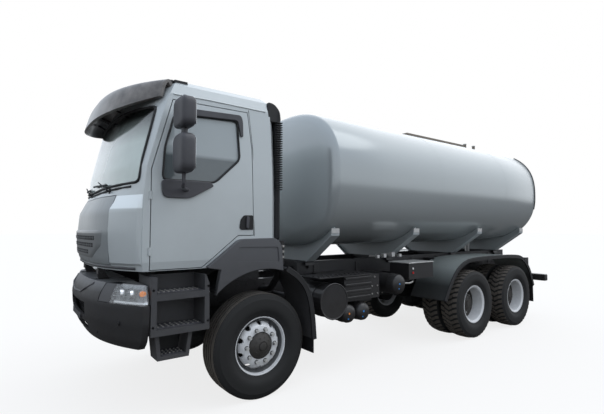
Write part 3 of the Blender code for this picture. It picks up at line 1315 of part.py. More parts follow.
def front_rim(name):
    half = RIM_WIDTH / 2
    seat = RIM_RADIUS - SEAT_GAP
    lip = RIM_RADIUS + FLANGE_HEIGHT
    barrel = RIM_RADIUS - BARREL_WALL
    bore = SPINDLE_RADIUS + BORE_CLEARANCE
    face = FRONT_DISC_PLANE
    back = face - DISC_WALL
    profile = [
        (FRONT_BORE_DEPTH - FRONT_HUB_BACK, 0),
        (FRONT_BORE_DEPTH - FRONT_HUB_BACK, bore),
        (-FRONT_HUB_BACK, bore),
        (-FRONT_HUB_BACK, HUB_RADIUS),
        (back - DISC_WALL, HUB_RADIUS),
        (back, HUB_FLANGE_RADIUS),
        (half / 2 - DISC_WALL, barrel - DISC_WALL / 2),
        (-half - FLANGE_OVERHANG / 2, barrel),
        (-half - FLANGE_OVERHANG, lip),
        (-half - SEAT_GAP, seat),
        (half + SEAT_GAP, seat),
        (half + FLANGE_OVERHANG, lip),
        (half + FLANGE_OVERHANG / 2, barrel),
        (half / 2, barrel - DISC_WALL / 2),
        (face, HUB_FLANGE_RADIUS),
        (face, HUB_RADIUS * HUB_TAPERS["root"]),
        (FRONT_HUB_NOSE, HUB_RADIUS * HUB_TAPERS["nose"]),
        (FRONT_HUB_NOSE + FLANGE_HEIGHT, 0),
    ]
    return turned(name, profile, (FRONT_WHEEL_X, 0, WHEEL_Z))


def twin_rims(name, y):
    half = RIM_WIDTH / 2
    seat = RIM_RADIUS - SEAT_GAP
    lip = RIM_RADIUS + FLANGE_HEIGHT
    barrel = RIM_RADIUS - BARREL_WALL
    bore = REAR_SPINDLE_RADIUS + BORE_CLEARANCE
    offset = TWIN_SPACING / 2
    plate = DISC_WALL
    profile = [
        (REAR_BORE_DEPTH - REAR_HUB_BACK, 0),
        (REAR_BORE_DEPTH - REAR_HUB_BACK, bore),
        (-REAR_HUB_BACK, bore),
        (-REAR_HUB_BACK, DRUM_RADIUS),
        (-plate, DRUM_RADIUS),
        (-offset + half, barrel - DISC_WALL / 2),
        (-offset - half - FLANGE_OVERHANG / 2, barrel),
        (-offset - half - FLANGE_OVERHANG, lip),
        (-offset - half - SEAT_GAP, seat),
        (-offset + half + SEAT_GAP, seat),
        (-offset + half + FLANGE_OVERHANG, lip),
        (0, barrel),
        (offset - half - FLANGE_OVERHANG, lip),
        (offset - half - SEAT_GAP, seat),
        (offset + half + SEAT_GAP, seat),
        (offset + half + FLANGE_OVERHANG, lip),
        (offset + half + FLANGE_OVERHANG / 2, barrel),
        (offset - half, barrel - DISC_WALL / 2),
        (plate, HUB_FLANGE_RADIUS),
        (plate, HUB_RADIUS * HUB_TAPERS["root"]),
        (REAR_HUB_NOSE, HUB_RADIUS),
        (REAR_HUB_NOSE + FLANGE_HEIGHT, 0),
    ]
    return turned(name, profile, (TWIN_WHEEL_X, y, WHEEL_Z))


def rear_bogie():
    pieces = []
    for y in REAR_AXLES.values():
        pieces.append(rod("axle_tube", (-REAR_TUBE_END_X, y, WHEEL_Z), (REAR_TUBE_END_X, y, WHEEL_Z),
                          REAR_TUBE_RADIUS))
        end = TWIN_WHEEL_X + REAR_BORE_DEPTH - REAR_HUB_BACK - BORE_END_GAP
        pieces.append(rod("rear_bogie", (-end, y, WHEEL_Z), (end, y, WHEEL_Z), REAR_SPINDLE_RADIUS,
                          sides=WHEEL_STEPS))
        pieces.append(banjo(y))
        pieces.append(rod("pinion", (0, y - PINION_LENGTH, PINION_Z), (0, y, PINION_Z), PINION_RADIUS,
                          end_radius=PINION_RADIUS * 2))
    front, rear = REAR_AXLES.values()
    pieces.append(rod("link_shaft", (0, front, PINION_Z), (0, rear - PINION_LENGTH + FUSE, PINION_Z),
                      PROP_RADIUS, sides=10))
    for side in (LEFT, RIGHT):
        low_x, high_x = sorted((side * (SPRING_X - SPRING_WIDTH / 2), side * (SPRING_X + SPRING_WIDTH / 2)))
        end_z = BOGIE_SPRING_TOP_Z - BOGIE_SPRING_DROP - SPRING_END
        outline = spring_outline(BOGIE_CENTRE, BOGIE_SPACING / 2 + OVERRUN, end_z, BOGIE_SPRING_DROP,
                                 inverted=True)
        pieces.append(prism("spring", outline, "X", low_x, high_x))
        half = BOGIE_PAD_SECTION / 2
        for y in REAR_AXLES.values():
            pieces.append(box("pad", (low_x - FUSE, y - half, WHEEL_Z),
                              (high_x + FUSE, y + half, end_z + SPRING_END)))
        pieces.append(box("trunnion", (low_x - FUSE, BOGIE_CENTRE - TRUNNION_LENGTH / 2,
                                       BOGIE_SPRING_TOP_Z - SPRING_PACK),
                          (high_x + FUSE, BOGIE_CENTRE + TRUNNION_LENGTH / 2,
                           RAIL_TOP_Z - RAIL_HEIGHT - SEAT_GAP)))
    z = BOGIE_SPRING_TOP_Z - SPRING_PACK / 2
    pieces.append(rod("trunnion_tube", (-SPRING_X, BOGIE_CENTRE, z), (SPRING_X, BOGIE_CENTRE, z),
                      PROP_RADIUS, sides=10))
    body = pieces.pop(1)
    return [unite(body, *pieces)]


def banjo(y):
    shape = bmesh.new()
    bmesh.ops.create_uvsphere(shape, u_segments=10, v_segments=6, radius=BANJO_RADIUS,
                              matrix=Matrix.Translation((0, y, WHEEL_Z)))
    return from_bmesh("banjo", shape)


def wheels():
    pieces = []
    tyre_left = tyre("front_tyre_left", FRONT_WHEEL_X, 0)
    rim_left = front_rim("front_rim_left")
    pieces += [tyre_left, rim_left, mirrored(tyre_left, "front_tyre_right"),
               mirrored(rim_left, "front_rim_right")]
    for axle, y in REAR_AXLES.items():
        outer = tyre(f"outer_tyre_{axle}_left", TWIN_WHEEL_X + TWIN_SPACING / 2, y)
        inner = tyre(f"inner_tyre_{axle}_left", TWIN_WHEEL_X - TWIN_SPACING / 2, y)
        rims = twin_rims(f"twin_rims_{axle}_left", y)
        pieces += [outer, inner, rims]
        pieces += [mirrored(piece, piece.name.replace("left", "right")) for piece in (outer, inner, rims)]
    return pieces


def silencer():
    inner = RAIL_OUTER_X + HANGER_PLATE + SEAT_GAP * 2
    body = rod("silencer", (inner, SILENCER_Y, SILENCER_Z),
               (SILENCER_OUTER_X - FUSE, SILENCER_Y, SILENCER_Z),
               SILENCER_RADIUS - RIB_SECTION / 2, sides=WHEEL_STEPS)
    disc = rod("disc", (SILENCER_OUTER_X - RIB_SECTION, SILENCER_Y, SILENCER_Z),
               (SILENCER_OUTER_X, SILENCER_Y, SILENCER_Z), SILENCER_RADIUS, sides=WHEEL_STEPS)
    return [unite(body, disc)]


def battery_box():
    inner = RAIL_OUTER_X + HANGER_PLATE + SEAT_GAP * 2
    body = box("battery_box", (inner, BATTERY_FRONT, BATTERY_FOOT_Z),
               (BATTERY_OUTER_X, BATTERY_REAR, BATTERY_TOP_Z))
    ribs = [box("rib", (BATTERY_OUTER_X - FUSE, BATTERY_FRONT, height),
                (BATTERY_OUTER_X + RIB_SECTION / 2, BATTERY_REAR, height + RIB_SECTION))
            for height in BATTERY_RIBS]
    end = box("end", (inner + OVERRUN, BATTERY_REAR - FUSE, BATTERY_FOOT_Z),
              (BATTERY_OUTER_X - RIB_SECTION, BATTERY_END_REAR, BATTERY_TOP_Z))
    return [unite(body, end, *ribs)]


def air_reservoirs():
    inner = RAIL_OUTER_X + HANGER_PLATE - FUSE
    plate = box("air_reservoirs", (RAIL_OUTER_X + SEAT_GAP, HANGER_FRONT, HANGER_FOOT_Z),
                (RAIL_OUTER_X + HANGER_PLATE, HANGER_REAR, HANGER_TOP_Z))
    pieces = []
    for y, z, radius in RESERVOIRS:
        shoulder = RESERVOIR_OUTER_X - RESERVOIR_DOME
        profile = [(inner, 0), (inner, radius), (shoulder, radius),
                   (shoulder + RESERVOIR_DOME * 0.7, radius * 0.7), (RESERVOIR_OUTER_X, 0)]
        pieces.append(turned("reservoir", profile, (0, y, z), steps=RESERVOIR_SIDES))
    return [unite(plate, *pieces)]


def control_box():
    body = box("control_box", (CONTROL_INNER_X, CONTROL_FRONT, CONTROL_FOOT_Z),
               (CONTROL_OUTER_X, CONTROL_REAR, CONTROL_TOP_Z))
    half = OVERRUN / 2
    middle = (CONTROL_FRONT + CONTROL_REAR) / 2
    arm = box("arm", (RAIL_OUTER_X + SEAT_GAP, middle - half, CONTROL_FOOT_Z + FUSE),
              (CONTROL_INNER_X + FUSE, middle + half, CONTROL_FOOT_Z + OVERRUN))
    return [unite(body, arm)]


def fuel_tank():
    body = box("fuel_tank", (-FUEL_OUTER_X, FUEL_FRONT, FUEL_FOOT_Z), (-FUEL_INNER_X, FUEL_REAR, FUEL_TOP_Z))
    body = rounded(body, FUEL_EDGE)
    arms = [box("arm", (-FUEL_INNER_X - OVERRUN, place, RAIL_TOP_Z - RAIL_HEIGHT + OVERRUN),
                (-RAIL_OUTER_X - SEAT_GAP, place + OVERRUN, RAIL_TOP_Z - OVERRUN))
            for place in (FUEL_FRONT + FUEL_EDGE * 2, FUEL_REAR - FUEL_EDGE * 3)]
    return [unite(body, *arms)]


# Bodies that move as one, columns: point of the joint or None, pieces
BODIES = {
    "cab": ((0, CAB_HINGE_Y, CAB_HINGE_Z),
            ("cab_shell", "windscreen", "wing_left", "wing_right", "sun_visor", "seats", "dashboard",
             "air_intake")),
    "front_flap": ((0, PANEL_HINGE_Y, PANEL_HINGE_Z), ("front_panel",)),
    "left_door": ((CAB_SECTIONS[1][1], DOOR_FRONT, DOOR_FOOT_Z),
                  ("door_left", "door_glass_left", "mirror_left")),
    "right_door": ((-CAB_SECTIONS[1][1], DOOR_FRONT, DOOR_FOOT_Z),
                   ("door_right", "door_glass_right", "mirror_right")),
    "left_steering": ((KINGPIN_X, 0, WHEEL_Z), ("knuckle_left",)),
    "right_steering": ((-KINGPIN_X, 0, WHEEL_Z), ("knuckle_right",)),
    "steering_link": ((KINGPIN_X, ARM_LENGTH, STEERING_ARM_Z), ("tie_rod",)),
    "front_wheel_left": ((FRONT_WHEEL_X, 0, WHEEL_Z), ("front_tyre_left", "front_rim_left")),
    "front_wheel_right": ((-FRONT_WHEEL_X, 0, WHEEL_Z), ("front_tyre_right", "front_rim_right")),
    "tank_lid": ((LID_HINGE_X, MANHOLE_Y, MANHOLE_TOP_Z + LID_HINGE_RADIUS), ("manhole_lid",)),
}
CARRIERS = {"front_flap": "cab", "left_door": "cab", "right_door": "cab", "steering_link": "left_steering",
            "front_wheel_left": "left_steering", "front_wheel_right": "right_steering"}


def finish_of(name):
    """The finish that a piece's name asks for."""
    table = (
        ("tyre", "rubber"), ("rim", "rim_silver"), ("glass", "glass"), ("windscreen", "glass"),
        ("headlamp", "lamp"),
        ("tank_coaming", "galvanised"), ("fuel_tank", "chassis_black"), ("manhole", "galvanised"),
        ("ladder", "galvanised"),
        ("outlet", "galvanised"), ("tank", "tank_paint"), ("cab_shell", "silver_paint"),
        ("front_panel", "silver_paint"),
        ("door", "silver_paint"), ("rear_mudguard", "tank_paint"), ("visor", "smoked"),
        ("seats", "cabin_trim"),
        ("dashboard", "cabin_trim"), ("engine", "cast_iron"), ("bogie", "cast_iron"), ("axle", "cast_iron"),
        ("knuckle", "cast_iron"), ("tie_rod", "cast_iron"), ("frame", "chassis_black"),
        ("silencer", "chassis_black"),
        ("battery", "chassis_black"), ("reservoir", "chassis_black"), ("control", "chassis_black"),
        ("underrun", "chassis_black"), ("mudguard", "grey_plastic"), ("subframe", "chassis_black"),
    )
    return next((finish for word, finish in table if word in name), "grey_plastic")


def dress(obj):
    colour, roughness, metallic = FINISHES[finish_of(obj.name)]
    material = bpy.data.materials.new(obj.name)
    material.use_nodes = True
    shader = material.node_tree.nodes["Principled BSDF"]
    shader.inputs["Base Color"].default_value = (*colour, 1)
    shader.inputs["Roughness"].default_value = roughness
    shader.inputs["Metallic"].default_value = metallic
    obj.data.materials.clear()
    obj.data.materials.append(material)
    obj.data.shade_smooth()
    obj.data.set_sharp_from_angle(angle=math.radians(30))


def assemble(pieces):
    """Each piece hangs on the empty at its body's joint, and all of them on the truck's own empty."""
    truck = bpy.data.objects.new("truck_origin", None)
    PARTS.objects.link(truck)
    truck.location = (0, FRONT_AXLE_FROM_CENTRE, 0)
    empties = {}
    for body, (place, _) in BODIES.items():
        parent = empties[CARRIERS[body]] if body in CARRIERS else truck
        base = Vector(place) - Vector(BODIES[CARRIERS[body]][0]) if body in CARRIERS else Vector(place)
        empty = bpy.data.objects.new(f"{body}_joint", None)
        PARTS.objects.link(empty)
        empty.parent = parent
        empty.location = base
        empties[body] = empty
    owner = {piece: body for body, (_, names) in BODIES.items() for piece in names}
    for obj in pieces:
        body = owner.get(obj.name)
        obj.parent = empties[body] if body else truck
        if body:
            obj.location = -Vector(BODIES[body][0])


def build():
    clear_scene()
    wall = cab_wall()
    pieces = cab_shell(wall) + front_panel(wall) + door(wall)
    bpy.data.objects.remove(wall, do_unlink=True)
    makers = (windscreen, mirrors, wings, visor, seats, dashboard, intake, bumper_and_lamps, steps,
              front_guards,
              rear_guards, chassis_frame, subframe, tank, tank_fittings, ladder, outlet, rear_underrun,
              engine,
              front_axle, knuckles, tie_rod, rear_bogie, wheels, silencer, battery_box, air_reservoirs,
              control_box,
              fuel_tank)
    for maker in makers:
        pieces += maker()
    for obj in pieces:
        dress(obj)
    assemble(pieces)


build()
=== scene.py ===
"""Looks of the six-wheeled tanker truck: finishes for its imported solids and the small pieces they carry.

Sizes are in metres. Pieces are laid out as the solids were, with y = 0 at the front axle and the cab
towards -Y, and Shape.mesh moves them into the row frame.
"""

import logging
import math
from dataclasses import dataclass
from enum import Enum, IntEnum
from typing import Dict, Iterable, List, Optional, Sequence, Tuple, Union

import bmesh
import bpy
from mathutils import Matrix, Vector


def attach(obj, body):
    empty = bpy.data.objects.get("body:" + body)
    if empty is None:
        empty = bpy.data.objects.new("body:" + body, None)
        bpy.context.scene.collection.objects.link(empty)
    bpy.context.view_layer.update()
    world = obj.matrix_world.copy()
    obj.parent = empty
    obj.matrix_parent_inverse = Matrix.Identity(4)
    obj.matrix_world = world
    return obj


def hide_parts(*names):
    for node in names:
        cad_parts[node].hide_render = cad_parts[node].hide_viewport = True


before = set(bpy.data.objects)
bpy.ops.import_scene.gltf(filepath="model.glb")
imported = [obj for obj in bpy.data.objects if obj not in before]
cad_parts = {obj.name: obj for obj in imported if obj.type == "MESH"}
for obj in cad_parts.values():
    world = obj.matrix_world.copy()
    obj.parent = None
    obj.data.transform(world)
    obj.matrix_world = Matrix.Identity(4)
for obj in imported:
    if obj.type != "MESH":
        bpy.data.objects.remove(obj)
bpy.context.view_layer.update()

Point = Tuple[float, float, float]
Flat = Tuple[float, float]
Colour = Tuple[float, float, float]
Block = Tuple[float, float, float]
Numbers = Tuple[float, ...]
Outline = Tuple[Flat, ...]
Socket = bpy.types.NodeSocket
Term = Union["Value", float]

LOG = logging.getLogger("tanker")
FRONT_AXLE_Y = -2.59
WHEEL_Z = 0.54034
WHEELBASE = 3.95
BOGIE_SPACING = 1.37
FRONT_WHEEL_X = 1.03
TWIN_WHEEL_X = 0.92
TWIN_OFFSET = 0.175
RAIL_OUTER_X = 0.4347
WING_OUTER_X = 1.2395

# The cab's outer skin, columns: height, half width, front at the middle, front at the corner, back
CAB_SECTIONS = (
    (1.380, 1.165, -1.475, -1.205, 0.180),
    (1.460, 1.175, -1.510, -1.215, 0.180),
    (1.720, 1.175, -1.528, -1.218, 0.180),
    (1.920, 1.175, -1.512, -1.215, 0.180),
    (2.030, 1.175, -1.455, -1.213, 0.180),
    (2.110, 1.175, -1.412, -1.210, 0.180),
    (2.320, 1.172, -1.398, -1.188, 0.178),
    (2.850, 1.155, -1.285, -1.045, 0.165),
    (3.020, 1.148, -1.225, -0.985, 0.155),
    (3.120, 1.125, -1.150, -0.940, 0.135),
    (3.180, 1.050, -1.020, -0.890, 0.090),
)
# The bumper's outer skin, with the same columns
BUMPER_SECTIONS = (
    (0.700, 1.100, -1.455, -1.215, -1.160),
    (0.765, 1.190, -1.505, -1.215, -1.160),
    (0.930, 1.235, -1.560, -1.215, -1.160),
    (1.090, 1.240, -1.570, -1.215, -1.160),
    (1.180, 1.225, -1.545, -1.205, -1.160),
    (1.262, 1.190, -1.490, -1.190, -1.160),
)
FRONT_SHARES = (0.0, 0.30, 0.55, 0.75, 0.88, 0.96, 1.0)


class Axis(Enum):
    """The row axis that a flat outline is run along."""

    X = 0
    Y = 1
    Z = 2


class Side(IntEnum):
    """The truck's two sides, as factors on X."""

    LEFT = 1
    RIGHT = -1

    @property
    def word(self) -> str:
        """The side's word in names."""
        return self.name.lower()


class Value:
    """A number socket that adds a Math node for each operation written on it."""

    def __init__(self, tree: bpy.types.NodeTree, socket: Socket) -> None:
        """Keeps the socket and the tree that it is in."""
        self.tree = tree
        self.socket = socket

    def _maths(self, operation: str, *terms: Term) -> "Value":
        """Adds one Math node.

        Args:
            operation: the node's operation.
            terms: its inputs in order, numbers or other values.

        Returns:
            The node's result.
        """
        node = self.tree.nodes.new("ShaderNodeMath")
        node.operation = operation
        for entry, term in zip(node.inputs, terms):
            if isinstance(term, Value):
                self.tree.links.new(term.socket, entry)
            else:
                entry.default_value = term
        return Value(self.tree, node.outputs[0])

    def __add__(self, other: Term) -> "Value":
        """The sum."""
        return self._maths("ADD", self, other)

    def __sub__(self, other: Term) -> "Value":
        """The difference."""
        return self._maths("SUBTRACT", self, other)

    def __rsub__(self, other: float) -> "Value":
        """The difference from a plain number."""
        return self._maths("SUBTRACT", other, self)

    def __mul__(self, other: Term) -> "Value":
        """The product."""
        return self._maths("MULTIPLY", self, other)

    __radd__ = __add__
    __rmul__ = __mul__

    def __truediv__(self, other: Term) -> "Value":
        """The quotient."""
        return self._maths("DIVIDE", self, other)

    def clamped(self) -> "Value":
        """The value held between 0 and 1."""
        return self._maths("MINIMUM", 1.0, self._maths("MAXIMUM", 0.0, self))

    def ramp(self, low: float, high: float) -> "Value":
        """0 at low and 1 at high, straight between them."""
        return ((self - low) / (high - low)).clamped()


class Graph:
    """The node tree of a finish, of the floor or of the sky."""

    def __init__(self, owner: Union[bpy.types.Material, bpy.types.World]) -> None:
        """Turns the owner's nodes on."""
        owner.use_nodes = True
        self.tree = owner.node_tree

    def node(self, kind: str, settings: Optional[dict] = None,
             sockets: Optional[dict] = None) -> bpy.types.Node:
        """Adds any node but a Math node.

        Args:
            kind: the node's type.
            settings: its properties, set first.
            sockets: values or links of its inputs, by name or number.

        Returns:
            The node.
        """
        node = self.tree.nodes.new(kind)
        for key, setting in (settings or {}).items():
            setattr(node, key, setting)
        for key, term in (sockets or {}).items():
            self.feed(node.inputs[key], term)
        return node

    def feed(self, entry: Socket, term: object) -> None:
        """Links a value or a socket to an input, or sets the input to a plain value."""
        if isinstance(term, Value):
            term = term.socket
        if isinstance(term, Socket):
            self.tree.links.new(term, entry)
        else:
            entry.default_value = term

    def place(self) -> Socket:
        """The point on the object, which stays with the object when it moves."""
        return self.node("ShaderNodeTexCoord").outputs["Object"]

    def height(self) -> Value:
        """The point's height at rest."""
        split = self.node("ShaderNodeSeparateXYZ", sockets={0: self.place()})
        return Value(self.tree, split.outputs[2])

    def noise(self, scale: float, stretch: Point = (1.0, 1.0, 1.0), detail: float = 4.0) -> Value:
        """Soft random tone between 0 and 1.

        Args:
            scale: how fine it is.
            stretch: factors on the three axes, small for long streaks.
            detail: how many finer layers it has.

        Returns:
            The tone.
        """
        scaled = self.node("ShaderNodeVectorMath", {"operation": "MULTIPLY"}, {0: self.place(), 1: stretch})
        noise = self.node("ShaderNodeTexNoise", sockets={"Vector": scaled.outputs[0], "Scale": scale,
                                                         "Detail": detail})
        return Value(self.tree, noise.outputs[0])

    def mix(self, share: Term, first: object, second: object) -> Socket:
        """Blends two colours."""
        node = self.node("ShaderNodeMix", {"data_type": "RGBA"}, {0: share, 6: first, 7: second})
        return node.outputs[2]


@dataclass(frozen=True)
class Finish:
    """One surface finish with uneven tone, road dust and fine relief."""

    name: str
    colour: Colour
    roughness: float
    metallic: float = 0.0
    coat: float = 0.0
    tone: float = 0.12
    grain: float = 9.0
    relief: float = 0.0
    relief_grain: float = 260.0
    dust: float = 0.0
    dust_colour: Colour = (0.16, 0.135, 0.105)
    dust_low: float = 0.3
    dust_high: float = 1.6
    streaks: float = 0.0
    transmission: float = 0.0
    glow: float = 0.0
    upper: Optional[Colour] = None
    upper_low: float = 1.31
    upper_high: float = 1.32

    def material(self) -> bpy.types.Material:
        """The finish as a material, made once."""
        found = bpy.data.materials.get(self.name)
        if found is not None:
            return found
        made = bpy.data.materials.new(self.name)
        graph = Graph(made)
        patches = graph.noise(self.grain)
        dark = tuple(part * (1 - self.tone) for part in self.colour)
        light = tuple(min(part * (1 + self.tone), 1.0) for part in self.colour)
        colour = graph.mix(patches.ramp(0.3, 0.7), (*dark, 1), (*light, 1))
        # Above a height the colour turns to the upper colour: two-tone paint in some finishes, painted light
        # (highlights, shade, reflections) in others.
        if self.upper:
            colour = graph.mix(graph.height().ramp(self.upper_low, self.upper_high), colour,
                               (*self.upper, 1))
        roughness = patches * 0.16 + (self.roughness - 0.08)
        metallic: Term = self.metallic
        if self.streaks:
            runs = graph.noise(1.0, (9.0, 9.0, 0.5), 6.0).ramp(0.52, 0.75) * self.streaks
            colour = graph.mix(runs, colour, (*self.dust_colour, 1))
            roughness = roughness + runs * 0.2
        if self.dust:
            low = 1 - graph.height().ramp(self.dust_low, self.dust_high)
            film = (low * (graph.noise(3.5) + graph.noise(28.0)) * self.dust).clamped()
            colour = graph.mix(film, colour, (*self.dust_colour, 1))
            roughness = roughness + film * 0.35
            metallic = (1 - film) * self.metallic
        shader = graph.tree.nodes["Principled BSDF"].inputs
        for entry, term in {"Base Color": colour, "Roughness": roughness.clamped(), "Metallic": metallic,
                            "Coat Weight": self.coat, "Coat Roughness": 0.12,
                            "Transmission Weight": self.transmission}.items():
            graph.feed(shader[entry], term)
        # The glow is painted light: it makes a surface bright as if lit, used by the amber lenses whose
        # lamps are off.
        if self.glow:
            shader["Emission Color"].default_value = (*self.colour, 1)
            shader["Emission Strength"].default_value = self.glow
        if self.relief:
            height = graph.noise(self.relief_grain, detail=2.0)
            bump = graph.node("ShaderNodeBump", sockets={"Strength": self.relief, "Distance": 0.001,
                                                         "Height": height})
            graph.feed(shader["Normal"], bump.outputs[0])
        return made


CAB_PAINT = Finish("cab_paint", (0.52, 0.56, 0.57), 0.34, 0.20, 0.35, tone=0.03, grain=3.0, dust=0.05,
                   dust_low=1.3, dust_high=2.2)
SHELL_PAINT = Finish("shell_paint", (0.012, 0.012, 0.014), 0.34, 0.20, 0.35, tone=0.03, grain=3.0,
                     upper=(0.52, 0.56, 0.57), upper_low=1.373, upper_high=1.378)
# Cab paint with a painted highlight: lighter above 1.93 m, on the corner panels' upward top facet.
CORNER_HIGHLIGHT_PAINT = Finish("corner_paint", (0.52, 0.56, 0.57), 0.34, 0.20, 0.35, tone=0.03, grain=3.0,
                      upper=(0.84, 0.90, 0.92), upper_low=1.930, upper_high=1.945)
# Cab paint darkened as painted shade for the front panel, which faces away from the bright sky; its streaks
# are real dirt.
PANEL_SHADED_PAINT = Finish("panel_paint", (0.255, 0.28, 0.29), 0.34, 0.20, 0.35, tone=0.04, grain=3.0,
                     streaks=0.22, dust=0.05, dust_low=1.3, dust_high=2.2)
TANK_PAINT = Finish("tank_paint", (0.475, 0.505, 0.52), 0.42, 0.25, 0.2, tone=0.03, grain=2.0, streaks=0.05,
                    dust=0.04, dust_low=1.2, dust_high=2.6)
SADDLE_PAINT = Finish("saddle_paint", (0.012, 0.012, 0.014), 0.42, tone=0.1, dust=0.05,
                      upper=(0.39, 0.42, 0.43))
# Dark paint, lighter above 0.88 m: painted shade low on the rear mudguards and painted light towards their
# top; the tank's welds lie wholly in the lighter part.
GUARD_PAINT_LIT_TOP = Finish("guard_paint", (0.035, 0.040, 0.042), 0.42, 0.20, 0.1, tone=0.08, dust=0.10,
                     dust_low=0.6, upper=(0.27, 0.30, 0.295), upper_low=0.88, upper_high=1.14)
FRAME_BLACK = Finish("frame_black", (0.012, 0.012, 0.014), 0.42, 0.0, 0.15, tone=0.25, relief=0.1, dust=0.10)
DARK_PLASTIC = Finish("dark_plastic", (0.052, 0.053, 0.058), 0.50, tone=0.10, relief=0.25, dust=0.10,
                      dust_low=0.5)
# Dark plastic with a painted highlight: lighter towards the wing's rounded top.
WING_PLASTIC_LIT_TOP = Finish("wing_plastic", (0.062, 0.063, 0.068), 0.50, tone=0.10, relief=0.25, dust=0.08,
                      dust_low=0.5, upper=(0.095, 0.097, 0.104), upper_low=1.25, upper_high=1.62)
# Black plastic with a painted highlight: lighter over the top 9 cm, where the top catches the sky.
BUMPER_PLASTIC_LIT_TOP = Finish("bumper_plastic", (0.017, 0.0175, 0.020), 0.50, tone=0.10, relief=0.25, dust=0.08,
                        dust_low=0.5, upper=(0.13, 0.133, 0.14), upper_low=1.17, upper_high=1.255)
MIRROR_PLASTIC = Finish("mirror_plastic", (0.060, 0.060, 0.068), 0.46, tone=0.10, relief=0.2)
RUBBER = Finish("rubber", (0.020, 0.018, 0.017), 0.72, tone=0.2, relief=0.3, dust=0.25, dust_high=1.3)
TREAD_RUBBER = Finish("tread_rubber", (0.085, 0.078, 0.072), 0.85, tone=0.25, relief=0.4, dust=0.5,
                      dust_high=1.8)
SEAL_RUBBER = Finish("seal_rubber", (0.010, 0.010, 0.011), 0.6, tone=0.2)
RIM_PAINT = Finish("rim_paint", (0.74, 0.75, 0.76), 0.36, 0.08, 0.2, tone=0.05, grain=30.0, dust=0.08)
# Dark ring laid in the front rims' gutter as painted shade.
RIM_PAINTED_SHADE = Finish("rim_shade", (0.135, 0.14, 0.145), 0.5, 0.2, tone=0.15, grain=30.0, dust=0.05)
NUT_STEEL = Finish("nut_steel", (0.62, 0.62, 0.60), 0.34, 0.35, tone=0.15, grain=60.0, dust=0.05)
HUB_IRON = Finish("hub_iron", (0.030, 0.030, 0.031), 0.55, 0.3, tone=0.3, grain=40.0, relief=0.3, dust=0.2)
CAST_IRON = Finish("cast_iron", (0.030, 0.028, 0.026), 0.65, 0.3, tone=0.3, relief=0.4, dust=0.3)
BOLT_STEEL = Finish("bolt_steel", (0.45, 0.44, 0.42), 0.38, 0.85, tone=0.15, grain=60.0)
# Windscreen glass; the dark upper colour is painted shade and reflection of the sun visor over the pane's
# top.
CAB_GLASS = Finish("cab_glass", (0.78, 0.89, 0.85), 0.07, tone=0.03, coat=0.8, transmission=0.42,
                   upper=(0.010, 0.012, 0.011), upper_low=2.56, upper_high=2.83)
# Door glass; the light upper colour is a painted sky reflection on the windows' upper half.
SIDE_GLASS = Finish("side_glass", (0.17, 0.20, 0.21), 0.07, tone=0.04, coat=0.8, transmission=0.30,
                    upper=(0.52, 0.58, 0.60), upper_low=2.43, upper_high=2.47)
VISOR_SMOKE = Finish("visor_smoke", (0.15, 0.138, 0.13), 0.30, tone=0.60, grain=7.0, coat=0.35)
LENS_CLEAR = Finish("lens_clear", (0.85, 0.87, 0.88), 0.09, tone=0.02, transmission=0.95)
REFLECTOR = Finish("reflector", (0.88, 0.89, 0.90), 0.22, 0.7, tone=0.05, grain=40.0)
LAMP_GREY = Finish("lamp_grey", (0.36, 0.365, 0.37), 0.30, 0.4, tone=0.25, grain=40.0)
# Amber lens with a painted glow standing in for daylight in the unlit lamp.
AMBER = Finish("amber", (0.95, 0.26, 0.006), 0.25, tone=0.08, coat=0.4, glow=0.45)
RED_LENS = Finish("red_lens", (0.50, 0.02, 0.02), 0.25, tone=0.1, coat=0.4)
WHITE_LENS = Finish("white_lens", (0.75, 0.75, 0.72), 0.3, tone=0.06, coat=0.2)
BLUE_TAG = Finish("blue_tag", (0.05, 0.30, 0.75), 0.5, tone=0.08)
ORANGE_TAG = Finish("orange_tag", (0.85, 0.28, 0.05), 0.5, tone=0.08)
CAB_TRIM = Finish("cab_trim", (0.10, 0.10, 0.105), 0.8, tone=0.2, relief=0.3)
ZINC = Finish("zinc", (0.55, 0.55, 0.54), 0.42, 0.6, tone=0.12, grain=20.0, dust=0.06)
DUSTY_STEEL = Finish("dusty_steel", (0.20, 0.17, 0.14), 0.6, 0.2, tone=0.2, streaks=0.3)
MIRROR_SILVER = Finish("mirror_silver", (0.85, 0.87, 0.88), 0.10, 1.0, tone=0.02)
PLATE_WHITE = Finish("plate_white", (0.72, 0.72, 0.70), 0.4, tone=0.04)
GRILLE_DARK = Finish("grille_dark", (0.008, 0.008, 0.009), 0.6, tone=0.2)
SHIELD_PAINT = Finish("shield_paint", (0.20, 0.212, 0.217), 0.36, 0.25, 0.3, tone=0.05)


def placed(axis: Axis, along: float, flat: Sequence[float]) -> List[float]:
    """A flat point with its place along an axis put in."""
    point = list(flat)
    point.insert(axis.value, along)
    return point


